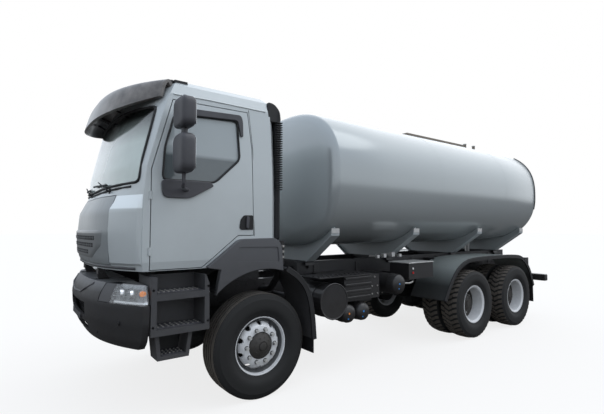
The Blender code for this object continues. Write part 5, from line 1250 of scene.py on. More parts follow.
    def visor(self) -> None:
        """Makes the bent sun visor and the struts under it."""
        rows = []
        for step in range(49):
            share = step / 24 - 1
            bow = abs(share) ** CAB_SKIN.curve
            path = [(front + setback * bow, height + rise * bow)
                    for front, height, setback, rise in self.visor_lines]
            outline = walled(chased(path, 2), -self.visor_wall)
            rows.append([(share * self.visor_half, y, z) for y, z in outline])
        Shape().rings(rows).made("visor_sheet", VISOR_SMOKE, "cab", "smoked", angle=40,
                                 stands_for=["sun_visor"])
        struts = Shape()
        front, _, setback, _ = self.visor_lines[3]
        for x in self.struts:
            bow = abs(x / self.visor_half) ** CAB_SKIN.curve
            struts.tube([(x, CAB_SKIN.front(x, 3.0, True) + 0.01, 3.00),
                         (x, front + setback * bow + 0.03, 3.06)], 0.010, 8)
        struts.made("visor_struts", SEAL_RUBBER, "cab", "smoked")

    def seals(self) -> None:
        """Makes the rubber round the windscreen and the door windows."""
        path = self.on_front(stepped(rounded(self.screen, 0.06, 5), 4), 0.001)
        Shape().tube(path, self.seal, 8, closed=True).made("windscreen_seal", SEAL_RUBBER, "cab", "rubber")
        path = self.on_side(stepped(rounded(self.window, 0.05), 2), 0.0)
        Shape().tube(path, self.seal * 0.8, 8, closed=True).made_pair("window_seal", SEAL_RUBBER, DOORS,
                                                                      "rubber")
        band = [(-0.95, 2.825), (-0.30, 2.862), (-0.268, 2.70), (-0.238, 2.70), (-0.240, 2.865),
                (-0.262, 2.925), (-0.93, 2.895)]
        band = rounded(band, 0.03, 3)
        self.plate(band, 0.0, 0.022).made_pair("window_deflector", MIRROR_PLASTIC, DOORS, "grey_plastic",
                                               bevel=0.006)

    def corners(self) -> None:
        """Makes the raised panels on the cab's front corners, with a painted highlight on their top facet.
        """
        stations = [0.812, 0.835, 0.90, 0.96, 1.00, 1.04, 1.08, 1.11, 1.14, 1.166]
        heights = [self.corner_low, self.corner_low + 0.02, 1.55, 1.65, 1.75, 1.85, 1.90, 1.930, 1.940, 2.02,
                   self.corner_high]
        rises = [0.0, 0.5, 0.7, 0.8, 0.85, 0.9, 0.95, 1.0, 0.97, 0.3, 0.0]
        rows, backs = [], []
        for height, rise in zip(heights, rises):
            row, back = [], []
            for number, x in enumerate(stations):
                edge = 0.0 if number == 0 else 0.35 if number == len(stations) - 1 else 1.0
                y = CAB_SKIN.front(x, height, True)
                slope = (CAB_SKIN.front(min(x + 0.02, 1.17), height, True) - y) / 0.02
                out = Vector((slope, -1.0, 0.0)).normalized() * (self.corner_rise * rise * edge + 0.0012)
                row.append((x + out.x, y + out.y, height))
                back.append((x, y + 0.012, height))
            rows.append(row)
            backs.append(back)
        Shape().shell(rows, backs).made_pair("corner_panel", CORNER_HIGHLIGHT_PAINT, CAB_SIDES, "silver_paint",
                                             angle=28)

    def front(self) -> None:
        """Makes the wipers and the dark lip under the panel."""
        wipers = Shape()
        for pivot, tip in self.wipers:
            foot = self.on_front([(pivot, 2.118)], 0.012)[0]
            hand = self.on_front([((pivot + tip) / 2, 2.225)], 0.032)[0]
            wipers.tube([foot, (foot[0], foot[1] - 0.02, foot[2] + 0.01), hand], 0.010, 8, end_radius=0.006)
            blade = stepped([(pivot - 0.06, 2.180), (tip, 2.205)], 10, False)
            wipers.tube(self.on_front(blade, 0.018), 0.010, 6)
            wipers.tube([foot, (foot[0], foot[1] + 0.03, foot[2])], 0.024, 12)
        wipers.made("wipers", SEAL_RUBBER, "cab", "rubber")
        cowl = [(x, 2.108 + 0.030 * abs(x)) for x in (-1.0, -0.75, -0.5, -0.25, 0.0, 0.25, 0.5, 0.75, 1.0)]
        Shape().tube(self.on_front(cowl, -0.002), 0.012, 8).made("cowl_strip", SEAL_RUBBER, "cab", "rubber")
        lip = [(-1.10, 1.405), (1.10, 1.405)]
        Shape().tube(self.on_front(stepped(lip, 20, False), -0.002, False), 0.014, 8).made(
            "front_lip", DARK_PLASTIC, "cab", "grey_plastic")

    def sides(self) -> None:
        """Makes the door handles, the seams and the drip rails."""
        outline = rounded([(-0.275, 1.765), (-0.255, 1.745), (-0.115, 1.745), (-0.115, 1.895),
                           (-0.225, 1.895), (-0.262, 1.85)], 0.02)
        self.plate(outline, 0.0008, 0.008).made_pair("handle_recess", GRILLE_DARK, DOORS, "grey_plastic",
                                                     bevel=0.002)
        bar = rounded([(-0.205, 1.765), (-0.175, 1.755), (-0.165, 1.88), (-0.20, 1.885)], 0.015)
        self.plate(bar, 0.008, 0.024).made_pair("handle_bar", MIRROR_PLASTIC, DOORS, "grey_plastic",
                                                bevel=0.004)
        drip = [(-0.955, 3.015), (-0.60, 3.022), (0.04, 3.018)]
        Shape().tube(self.on_side(stepped(drip, 6, False), 0.0), 0.008, 8).made_pair(
            "drip_rail", CAB_PAINT, CAB_SIDES, "silver_paint")
        seam = Shape().tube(self.on_side([(-0.098, 1.68), (-0.118, 2.58), (-0.165, 3.0)], -0.0005), 0.003, 6)
        seam.made_pair("quarter_seam", SEAL_RUBBER, CAB_SIDES, "rubber")

    def roof(self) -> None:
        """Makes the roof's marker lamps and its edge strips."""
        strip = Shape()
        for side in Side:
            path = [(side * 1.04, -0.78, 3.176), (side * 1.04, -0.40, 3.178), (side * 1.03, -0.02, 3.172)]
            strip.tube(path, 0.006, 6)
        strip.made("roof_strips", CAB_PAINT, "cab", "silver_paint")
        marker = Shape().box((1.02, -0.93, 3.135), (1.09, -0.80, 3.178))
        marker.tube([(1.055, -0.93, 3.160), (1.055, -1.00, 3.150)], 0.022, 10)
        marker.made_pair("roof_marker", SEAL_RUBBER, CAB_SIDES, "grey_plastic", bevel=0.006)

    def intake(self) -> None:
        """Makes the ribs on the intake behind the cab and its dark top corner."""
        ribs = Shape()
        for number in range(self.rib_count):
            height = self.rib_foot + number * self.rib_pitch
            ribs.box((0.955, 0.177, height), (1.168, 0.256, height + self.rib_height))
        ribs.made("intake_ribs", SEAL_RUBBER, "cab", "grey_plastic", bevel=0.003)
        corner = rounded([(0.07, 2.92), (0.250, 2.92), (0.235, 3.06), (0.16, 3.13), (0.07, 3.14)], 0.05)
        Shape().prism(corner, Axis.X, 0.93, 1.15).made("rear_corner_cap", SEAL_RUBBER, "cab",
                                                       "grey_plastic", bevel=0.01)
        duct = Shape().tube([(1.06, 0.21, 1.64), (1.06, 0.215, 1.50), (1.02, 0.22, 1.42),
                             (0.9, 0.22, 1.36)], 0.045, 16)
        duct.made("intake_duct", SEAL_RUBBER, "cab", "grey_plastic")

    def mirrors(self) -> None:
        """Makes the rounded mirror housings with their arm, foot and glass."""
        housing = Shape()
        x, y = self.mirror_x, self.mirror_y
        for low, high in self.mirror_levels:
            housing.pod((x, y, (low + high) / 2), (0.270, 0.140, high - low), 4.6)
        housing.tube([(1.185, -0.82, 2.118), (1.30, -0.90, 2.118), (1.41, -0.948, 2.125), (x, y, 2.150),
                      (x, y, 2.60), (x, y, 2.93)], self.arm_radius, 14)
        housing.tube([(x, y, 2.585), (x, y, 2.637)], 0.028, 16)
        foot = rounded([(-1.05, 2.04), (-0.80, 2.038), (-0.56, 2.17), (-0.60, 2.205), (-1.07, 2.205)], 0.05)
        housing.rings([self.on_side(foot, 0.001), self.on_side(foot, 0.030)])
        housing.made_pair("mirror_housing", MIRROR_PLASTIC, DOORS, "grey_plastic", bevel=0.008,
                          stands_for=["mirror"])
        glass = Shape()
        for low, high in self.mirror_glass:
            glass.box((1.335, -0.8822, low), (1.525, -0.8796, high))
        glass.made_pair("mirror_glass", MIRROR_SILVER, DOORS, "glass", bevel=0.001)

    def build(self) -> None:
        """Makes every piece of the cab."""
        for group in (self.panel, self.glass, self.visor, self.seals, self.corners, self.front, self.sides,
                      self.roof, self.intake, self.mirrors):
            group()


@dataclass
class Wing:
    """The flared wing over the front wheel, with its lining and sunk panel."""

    inner_x: float = 1.176
    outer_x: float = WING_OUTER_X
    lining_x: float = 0.722
    radius: float = 0.80
    wall: float = 0.028
    outline: Outline = (
        (-0.545, 1.118), (-0.497, 1.362), (-0.642, 1.386), (-0.318, 1.632), (-0.270, 1.654), (0.11, 1.660),
        (0.180, 1.620), (0.207, 1.54), (0.225, 1.308))
    recess: Outline = ((-0.305, 1.575), (0.155, 1.565), (0.172, 1.41), (-0.335, 1.43))

    def arch(self, radius: float, start: float, end: float, steps: int = 28) -> List[Flat]:
        """Points of the wheel arch from one angle to another."""
        turns = [start + (end - start) * step / steps for step in range(steps + 1)]
        return [(radius * math.cos(turn), WHEEL_Z + radius * math.sin(turn)) for turn in turns]

    def build(self) -> None:
        """Makes both wings."""
        front, rear = self.outline[0], self.outline[-1]
        start = math.atan2(front[1] - WHEEL_Z, front[0])
        end = math.atan2(rear[1] - WHEEL_Z, rear[0])
        middle = rounded(self.outline[1:-1], 0.03, 3)[4:-4]
        face = [front, self.outline[1], *middle, self.outline[-2], rear]
        face += self.arch(self.radius, end, start)[1:-1]
        skin = Shape().prism(face, Axis.X, self.inner_x, self.outer_x)
        sunk = Shape().prism(rounded(self.recess, 0.025), Axis.X, self.outer_x - 0.008, self.outer_x + 0.02)
        for side in Side:
            # Its finish is lighter towards the top as a painted highlight.
            made = skin.on(side).made(f"wing_skin_{side.word}", WING_PLASTIC_LIT_TOP, "cab", "grey_plastic",
                                      bevel=0.020, angle=40, stands_for=[f"wing_{side.word}"])
            drilled(made, sunk.on(side))
        inner = self.arch(self.radius + 0.004, end + 0.02, start - 0.02)
        outer = self.arch(self.radius + self.wall, start - 0.02, end + 0.02)
        lining = Shape().prism(inner + outer, Axis.X, self.lining_x, self.outer_x - 0.02)
        lining.made_pair("wing_lining", SEAL_RUBBER, CAB_SIDES, "grey_plastic", angle=40)


@dataclass
class Bumper:
    """The smooth bumper with its grille, notches and covers, and the headlamps in its corners."""

    lamp_low: float = 1.097
    lamp_high: float = 1.258
    lamp_inner: float = 0.722
    lens_inner: float = 0.890
    foot: float = 0.700
    top: float = 1.262
    back: float = -1.160
    wall: float = 0.030
    blend: float = 0.028
    grille_half: float = 0.42
    grille_rows: Outline = ((0.79, 0.86), (0.92, 1.05))
    pocket_foot: float = 1.095
    notch: Flat = (0.342, 0.466)
    mesh_y: float = -1.475
    mesh_pitch: float = 0.045
    mesh_rows: Numbers = (0.81, 0.84, 0.95, 0.985, 1.02)
    mesh_radius: float = 0.004
    bowls: Outline = ((0.955, 0.058), (1.065, 0.050))
    bowl_z: float = 1.178
    lens_wall: float = 0.004
    bars: Numbers = (1.130, 1.162, 1.196, 1.228)
    bar_radius: float = 0.0035
    crease: Outline = ((0.50, 1.235), (0.36, 1.175), (0.24, 1.130), (0.0, 1.122))
    covers: Tuple[Numbers, ...] = ((1.00, 0.93, 0.024), (0.62, 0.80, 0.018))

    def section(self, z: float) -> List[float]:
        """The half width, front and corner at a height, with the table's breaks rounded off."""
        heights = [min(max(z + self.blend * step, self.foot), self.top)
                   for step in (-1.0, -0.5, 0.0, 0.5, 1.0)]
        table = [columns(BUMPER_SECTIONS, height) for height in heights]
        return [sum(row[number] for row in table) / len(table) for number in range(3)]

    def level(self, z: float, deep: bool) -> List[Point]:
        """One closed row of the bumper: its face, then its inside.

        Args:
            z: the row's height.
            deep: whether the inside lies at the back, as it does in the top.

        Returns:
            The row.
        """
        half, front, corner = self.section(z)
        shares = [step / 28 - 1 for step in range(57)]
        face = [(share * half, front + (corner - front) * abs(share) ** BUMPER_SKIN.curve)
                for share in shares]
        narrow = (half - self.wall) / half
        last = self.back - 0.004
        inside = [(x * narrow, last if deep else min(y + self.wall, last)) for x, y in face]
        ring = [(-half, self.back), *face, (half, self.back)]
        ring += [(half - self.wall, self.back), *inside[::-1], (self.wall - half, self.back)]
        return [(x, y, z) for x, y in ring]

    def skin(self) -> None:
        """Makes the smooth bumper with its grille openings, lamp pockets, notches and brackets."""
        ceiling = self.top - self.wall
        heights = [self.foot + (ceiling - self.foot) * step / 22 for step in range(23)]
        rows = [self.level(z, False) for z in heights]
        rows += [self.level(z, True) for z in (ceiling + 0.001, self.top - 0.012, self.top)]
        # Its finish carries a painted highlight along the top.
        made = Shape().rings(rows).made("bumper_skin", BUMPER_PLASTIC_LIT_TOP, "chassis", "grey_plastic",
                                        bevel=0.005, stands_for=["front_bumper"])
        openings = Shape()
        for low, high in self.grille_rows:
            openings.box((-self.grille_half, -1.70, low), (self.grille_half, -1.40, high))
        for side in Side:
            low, high = sorted((side * (self.lamp_inner - 0.002), side * 1.30))
            openings.box((low, -1.70, self.pocket_foot), (high, -1.10, 1.30))
            low, high = sorted(side * edge for edge in self.notch)
            openings.box((low, -1.465, self.pocket_foot + 0.002), (high, -1.11, 1.31))
        drilled(made, openings)
        brackets = Shape()
        for side in Side:
            brackets.centred_box((side * 0.4075, -1.3652, 0.99), (0.045, 0.1696, 0.18))
        brackets.made("bumper_brackets", FRAME_BLACK, "chassis", "grey_plastic", bevel=0.003)

    def lamp_ring(self, height: float, inset: float, inner: float, outer: float) -> List[Point]:
        """One level of a lamp's block.

        Args:
            height: the level's height.
            inset: how far it is set in from the bumper's skin.
            inner: its edge towards the middle.
            outer: its edge towards the side.

        Returns:
            The level, with its two points at the back last.
        """
        points = []
        for share in (0.0, 0.25, 0.5, 0.7, 0.85, 0.95, 1.0):
            x = inner + (outer - inner) * share
            points.append((x, BUMPER_SKIN.front(x, height) + inset, height))
        points.append((outer, -1.168, height))
        points.append((inner, -1.168, height))
        return points

    def lamps(self) -> None:
        """Makes the housings, reflectors, amber blocks and clear lenses."""
        levels = (self.lamp_low, 1.15, 1.20, self.lamp_high)
        widths = [columns(BUMPER_SECTIONS, level)[0] - 0.003 for level in levels]
        housing = Shape().rings([self.lamp_ring(level, 0.045, self.lamp_inner, wide - 0.045)
                                 for level, wide in zip(levels, widths)])
        housing.made_pair("headlamp_housing", LAMP_GREY, CHASSIS, "lamp", stands_for=["headlamp"])
        cover = Shape().rings([self.lamp_ring(level, 0.001, self.lamp_inner, self.lens_inner - 0.002)[:-2]
                               + [(self.lens_inner - 0.002, -1.26, level), (self.lamp_inner, -1.30, level)]
                               for level in levels])
        cover.made_pair("headlamp_cover", DARK_PLASTIC, CHASSIS, "lamp", bevel=0.003)
        bowls, ambers = Shape(), Shape()
        for x, radius in self.bowls:
            centre = (x, BUMPER_SKIN.front(x, 1.18), self.bowl_z)
            bowls.turned([(0.020, radius), (0.016, radius + 0.004), (0.050, radius + 0.004), (0.056, 0.0),
                          (0.050, 0.0), (0.044, radius * 0.6)], centre, 28, Axis.Y)
            bowls.turned([(0.026, 0.0), (0.026, 0.014), (0.050, 0.016), (0.050, 0.0)], centre, 16, Axis.Y)
        ledge = [self.lamp_ring(level, 0.030, self.lens_inner + 0.004, wide - 0.030) for level, wide in
                 zip((self.lamp_low + 0.003, self.lamp_low + 0.022), widths)]
        bowls.rings(ledge)
        bowls.made_pair("headlamp_bowls", REFLECTOR, CHASSIS, "lamp")
        ambers.pod((1.152, -1.196, 1.186), (0.056, 0.056, 0.050), 2.6)
        ambers.made_pair("turn_lamp", AMBER, CHASSIS, "lamp")
        outer, inner = ([self.lamp_ring(level, inset, self.lens_inner, wide - inset)[:-1]
                         for level, wide in zip(levels, widths)] for inset in (0.0, self.lens_wall))
        Shape().shell(outer, inner).made_pair("headlamp_lens", LENS_CLEAR, CHASSIS, "lamp", angle=50)
        bars = Shape()
        for height in self.bars:
            path = [(x, BUMPER_SKIN.front(x, height) + 0.012, height)
                    for x in (0.90, 0.96, 1.02, 1.07, 1.11, 1.14)]
            bars.tube(path, self.bar_radius, 6)
        bars.made_pair("headlamp_bars", ZINC, CHASSIS, "lamp")

    def face(self) -> None:
        """Makes the grille's mesh and back, the crease over it, the blank plate and the covers."""
        mesh = Shape()
        y, radius = self.mesh_y, self.mesh_radius
        for number in range(-9, 10):
            x = number * self.mesh_pitch
            for low, high in self.grille_rows:
                mesh.tube([(x, y, low - 0.005), (x, y, high + 0.005)], radius, 4)
        for height in self.mesh_rows:
            mesh.tube([(-0.415, y + 0.003, height), (0.415, y + 0.003, height)], radius, 4)
        mesh.made("bumper_mesh", GRILLE_DARK, "chassis", "grey_plastic")
        backing = Shape().centred_box((0, -1.467, 0.922), (2 * self.grille_half + 0.01, 0.006, 0.280))
        backing.made("bumper_backing", SEAL_RUBBER, "chassis", "grey_plastic", bevel=0.001)
        crease = Shape()
        for side in Side:
            crease.tube([(side * x, BUMPER_SKIN.front(x, z) - 0.002, z) for x, z in self.crease], 0.012, 8)
        crease.made("bumper_crease", DARK_PLASTIC, "chassis", "grey_plastic")
        plate = Shape().centred_box((0, BUMPER_SKIN.front(0, 0.89) - 0.004, 0.890), (0.50, 0.006, 0.058))
        plate.made("front_plate", DARK_PLASTIC, "chassis", "grey_plastic", bevel=0.001)
        caps = Shape()
        for x, z, radius in self.covers:
            y = BUMPER_SKIN.front(x, z)
            caps.tube([(x, y + 0.004, z), (x, y - 0.004, z)], radius, 20)
            caps.tube([(x, y - 0.004, z), (x, y - 0.007, z)], radius * 0.45, 12)
        caps.made_pair("bumper_caps", SEAL_RUBBER, CHASSIS, "grey_plastic")

    def build(self) -> None:
        """Makes the skin, the lamps and the face."""
        self.skin()
        self.lamps()
        self.face()


@dataclass
class Steps:
    """Treads, studs and bolts of the cab's steps, and the hanging step's back."""

    outer: float = 1.238
    treads: Tuple[Numbers, ...] = ((0.8755, -1.095, -0.665), (1.1855, -1.095, -0.675))
    tread_wall: float = 0.006
    tread_edges: Flat = (1.02, 1.205)
    stud_rows: Numbers = (1.06, 1.11, 1.16)
    stud_margin: float = 0.03
    stud_count: int = 9
    low_tread: Tuple[Point, Point] = ((0.99, -1.03, 0.6255), (1.17, -0.82, 0.631))
    low_rows: Numbers = (1.02, 1.07, 1.12)
    low_back: Tuple[Point, Point] = ((0.990, -1.03, 0.631), (0.996, -0.82, 0.835))
    bolts: Outline = ((-0.628, 0.90), (-0.628, 1.22), (-1.13, 0.90), (-1.13, 1.22))

    def build(self) -> None:
        """Makes the tread strips, their studs, the bolts and the back."""
        treads, studs, bolts = Shape(), Shape(), Shape()
        wall, margin = self.tread_wall, self.stud_margin
        for low, front, rear in self.treads:
            treads.box((self.tread_edges[0], front, low), (self.tread_edges[1], rear, low + wall))
            for number in range(self.stud_count):
                y = front + margin + number * (rear - front - 2 * margin) / (self.stud_count - 1)
                for x in self.stud_rows:
                    studs.tube([(x, y, low + wall), (x, y, low + 2 * wall)], 0.010, 8)
        treads.box(*self.low_tread)
        for number in range(6):
            y = -1.015 + number * 0.036
            for x in self.low_rows:
                studs.tube([(x, y, 0.631), (x, y, 0.638)], 0.009, 8)
        for y, z in self.bolts:
            bolts.tube([(self.outer, y, z), (self.outer + 0.002, y, z)], 0.011, 8)
        bolts.tube([(1.14, -0.625, 1.165), (1.234, -0.625, 1.165)], 0.014, 12)
        treads.made_pair("step_treads", MIRROR_PLASTIC, CHASSIS, "grey_plastic", bevel=0.002)
        Shape().box(*self.low_back).made_pair("step_backing", SEAL_RUBBER, CHASSIS, "grey_plastic")
        studs.made_pair("step_studs", BOLT_STEEL, CHASSIS, "grey_plastic")
        bolts.made_pair("step_bolts", BOLT_STEEL, CHASSIS, "grey_plastic")


@dataclass
class Tank:
    """The tank's smooth skin with its seams and dished ends, its saddles' faces and the fittings on top."""

    half_width: float = 1.217
    half_height: float = 0.925
    centre_z: float = 2.44
    squareness: float = 2.5
    front: float = 1.08
    rear: float = 6.22
    dish: float = 0.20
    sides: int = 144
    seams: Flat = (3.15, 5.10)
    dish_shares: Outline = (
        (0.15, 0.985), (0.30, 0.95), (0.45, 0.89), (0.60, 0.80), (0.72, 0.70), (0.82, 0.585), (0.90, 0.455),
        (0.955, 0.31), (0.985, 0.17), (0.997, 0.07), (1.0, 0.0))
    saddles: Numbers = (1.16, 2.77, 4.53, 6.05)
    pad_edges: Flat = (1.006, 1.018)
    crown_turns: Flat = (1.30, 1.32)
    lid_y: float = 4.15
    clamp_circle: float = 0.262
    clamp_count: int = 6
    vents: Flat = (5.30, 5.62)

    def point(self, turn: float, y: float, scale: float = 1.0, gap: float = 0.0) -> Point:
        """A point of the tank's rounded section.

        Args:
            turn: the angle at which it lies.
            y: the section's place along the truck.
            scale: the section's size against the tank's.
            gap: how far the point is set out.

        Returns:
            The point.
        """
        power = 2 / self.squareness
        c, s = math.cos(turn), math.sin(turn)
        x = (self.half_width * scale + gap) * math.copysign(abs(c) ** power, c)
        z = (self.half_height * scale + gap) * math.copysign(abs(s) ** power, s)
        return (x, y, self.centre_z + z)

    def ring(self, y: float, scale: float = 1.0, gap: float = 0.0) -> List[Point]:
        """One whole section."""
        return [self.point(math.tau * (side + 0.5) / self.sides, y, scale, gap)
                for side in range(self.sides)]

    def skin(self) -> None:
        """Makes the shell with its dished ends, in place of the tank's solid."""
        rows = [self.ring(self.front - self.dish * depth, scale) for scale, depth in self.dish_shares]
        rows += [self.ring(y) for y in (2.0, 3.149, 3.151, 4.2, 5.099, 5.101)]
        rows += [self.ring(self.rear + self.dish * depth, scale)
                 for scale, depth in reversed(self.dish_shares)]
        Shape().rings(rows).made("tank_skin", TANK_PAINT, "chassis", "tank_paint", angle=60,
                                 stands_for=["tank"])
        welds = Shape()
        for y in self.seams:
            welds.rings([self.ring(y + along, 1.0, lift)
                         for along, lift in ((-0.004, -0.001), (0.0, 0.001), (0.004, -0.001))], caps=False)
        welds.made("tank_welds", GUARD_PAINT_LIT_TOP, "chassis", "tank_paint", angle=80)

    def saddle_faces(self) -> None:
        """Makes the painted cheeks on each saddle and the bright pads at their tips."""
        pads, cheeks = Shape(), Shape()
        for place in self.saddles:
            for side in Side:
                low, high = sorted(side * edge for edge in self.pad_edges)
                pads.box((low, place - 0.065, 1.700), (high, place + 0.065, 1.760))
                line = [self.point(-turn, 0, 1.0, 0.004) for turn in (0.98, 0.92, 0.86, 0.80)]
                cheeks.tube([(side * x, place, z) for x, _, z in line], 0.007, 6)
        pads.made("saddle_pads", ZINC, "chassis", "galvanised", bevel=0.002)
        cheeks.made("saddle_ends", TANK_PAINT, "chassis", "tank_paint")
        crown = Shape()
        for turn in self.crown_turns:
            crown.tube([self.point(turn, y, 1.0, 0.002) for y in (1.2, 2.0, 3.15, 4.2, 5.1, 6.1)], 0.006, 6)
        crown.made("crown_strip", DUSTY_STEEL, "chassis", "tank_paint")
        # A black strip along the seen arc of the rear end's edge: painted shade of the rear dish.
        rim = Shape().tube([self.point(-0.25 + 0.05 * step, self.rear + 0.004, 1.0, -0.004)
                            for step in range(24)], 0.016, 8)
        rim.made("rear_rim_bead", FRAME_BLACK, "chassis", "tank_paint")

    def top(self) -> None:
        """Makes the lid's clamps and the vents' caps."""
        clamps = Shape()
        for number in range(self.clamp_count):
            turn = math.tau * (number + 0.5) / self.clamp_count
            x, y = math.cos(turn) * self.clamp_circle, self.lid_y + math.sin(turn) * self.clamp_circle
            clamps.centred_box((x, y, 3.462), (0.04, 0.04, 0.016))
        clamps.made("lid_clamps", ZINC, "tank_lid", "galvanised", bevel=0.003)
        caps = Shape()
        for y in self.vents:
            caps.tube([(0.30, y, 3.465), (0.30, y, 3.4795)], 0.036, 12)
        caps.made("vent_caps", ZINC, "chassis", "galvanised")

    def build(self) -> None:
        """Makes every piece of the tank."""
        self.skin()
        self.saddle_faces()
        self.top()


@dataclass
class SideGear:
    """Ribs, bolts, straps, tags and lamps on the equipment beside the frame."""

    ribs: Numbers = (0.875, 0.955, 1.035, 1.115)
    plate_bolts: Outline = ((1.74, 0.90), (1.84, 0.90), (1.74, 1.00), (1.84, 1.00), (1.79, 1.12))
    step_rows: Flat = (1.04, 0.93)
    step_z: float = 1.170
    drum_centre: Point = (0, 1.0, 0.89)
    drum_bands: Flat = (0.62, 0.95)
    vessels: Tuple[Numbers, ...] = (
        (1.29, 0.70, 0.115), (1.54, 0.70, 0.115), (2.24, 0.985, 0.14))
    straps: Flat = (0.62, 0.98)
    lamps: Flat = (1.13, 1.19)
    valves: Tuple[Numbers, ...] = (
        (2.30, 1.34, 0.05), (2.44, 1.35, 0.06), (2.62, 1.36, 0.07), (2.80, 1.34, 0.05))

    def box_trim(self) -> None:
        """Makes the battery box's ribs, end plate bolts and the holed step over it."""
        ribs = Shape()
        for height in self.ribs:
            ribs.box((1.098, 1.235, height), (1.120, 1.690, height + 0.030))
        ribs.made("battery_ribs", FRAME_BLACK, "chassis", "chassis_black", bevel=0.006)
        bolts = Shape()
        for y, z in self.plate_bolts:
            bolts.tube([(1.074, y, z), (1.086, y, z)], 0.012, 6)
        bolts.made("battery_bolts", BOLT_STEEL, "chassis", "chassis_black")
        step = Shape().box((0.70, 0.82, 1.158), (1.12, 1.70, self.step_z))
        for number in range(11):
            for x in self.step_rows:
                y = 0.87 + number * 0.075
                step.tube([(x, y, self.step_z), (x, y, self.step_z + 0.008)], 0.016, 10)
        step.made("side_step_plate", FRAME_BLACK, "chassis", "chassis_black", bevel=0.002)

    def drum(self) -> None:
        """Makes the drum's rolled edge and its clamps."""
        edge = Shape().turned([(1.160, 0.2165), (1.172, 0.2165), (1.176, 0.210), (1.172, 0.200),
                               (1.164, 0.198)], self.drum_centre, 56)
        for x in self.drum_bands:
            edge.turned([(x, 0.2045), (x + 0.04, 0.2045), (x + 0.04, 0.2085), (x, 0.2085)],
                        self.drum_centre, 48)
        edge.made("drum_edges", FRAME_BLACK, "chassis", "chassis_black")

    def reservoirs(self) -> None:
        """Makes the smooth air reservoirs' straps, drain taps and colour tags."""
        straps, taps = Shape(), Shape()
        blue, orange = Shape(), Shape()
        for y, z, radius in self.vessels:
            straps.turned([(0.455, 0.0), (0.455, radius), (1.085, radius + 0.0005), (1.115, radius * 0.93),
                           (1.138, radius * 0.72), (1.149, radius * 0.40), (1.1515, 0.0)], (0, y, z), 40,
                          closed=False)
            for x in self.straps:
                straps.turned([(x, radius + 0.001), (x + 0.035, radius + 0.001), (x + 0.035, radius + 0.005),
                               (x, radius + 0.005)], (0, y, z), 40)
            taps.tube([(0.8, y, z - radius - 0.02), (0.8, y, z - radius + 0.01)], 0.012, 8)
            tag = blue if y > 1.4 else orange
            tag.tube([(1.140, y - 0.03, z + 0.01), (1.1535, y - 0.03, z + 0.01)], 0.012, 14)
            blue.tube([(1.132, y - 0.04, z - 0.055), (1.1475, y - 0.04, z - 0.055)], 0.008, 12)
        straps.made("reservoir_shells", FRAME_BLACK, "chassis", "chassis_black")
        taps.made("reservoir_taps", BOLT_STEEL, "chassis", "chassis_black")
        blue.made("reservoir_tags_blue", BLUE_TAG, "chassis", "chassis_black")
        orange.made("reservoir_tags_orange", ORANGE_TAG, "chassis", "chassis_black")

    def control(self) -> None:
        """Makes the control box's lid edge, lamps and pipes."""
        lid = Shape().box((0.79, 2.40, 1.262), (1.16, 2.98, 1.276))
        lid.made("control_lid", ZINC, "chassis", "chassis_black", bevel=0.003)
        red, white = (Shape().tube([(1.15, 2.50, z), (1.158, 2.50, z)], radius, 14)
                      for z, radius in zip(self.lamps, (0.016, 0.014)))
        red.made("control_lamp_red", RED_LENS, "chassis", "chassis_black")
        white.made("control_lamp_white", WHITE_LENS, "chassis", "chassis_black")
        pipe = Shape().tube([(1.10, 2.36, 0.99), (1.12, 2.46, 0.985), (1.12, 2.52, 1.00),
                             (1.08, 2.58, 1.045)], 0.014, 10)
        pipe.made("bent_pipe", BOLT_STEEL, "chassis", "chassis_black")
        fittings = Shape()
        for y, z, size in self.valves:
            fittings.centred_box((0.66, y, z), (size, size, size))
            fittings.tube([(0.66, y, z), (0.50, y, z)], 0.018, 10)
        fittings.made("valve_block", ZINC, "chassis", "galvanised", bevel=0.006)

    def build(self) -> None:
        """Makes every piece beside the frame."""
        self.box_trim()
        self.drum()
        self.reservoirs()
        self.control()


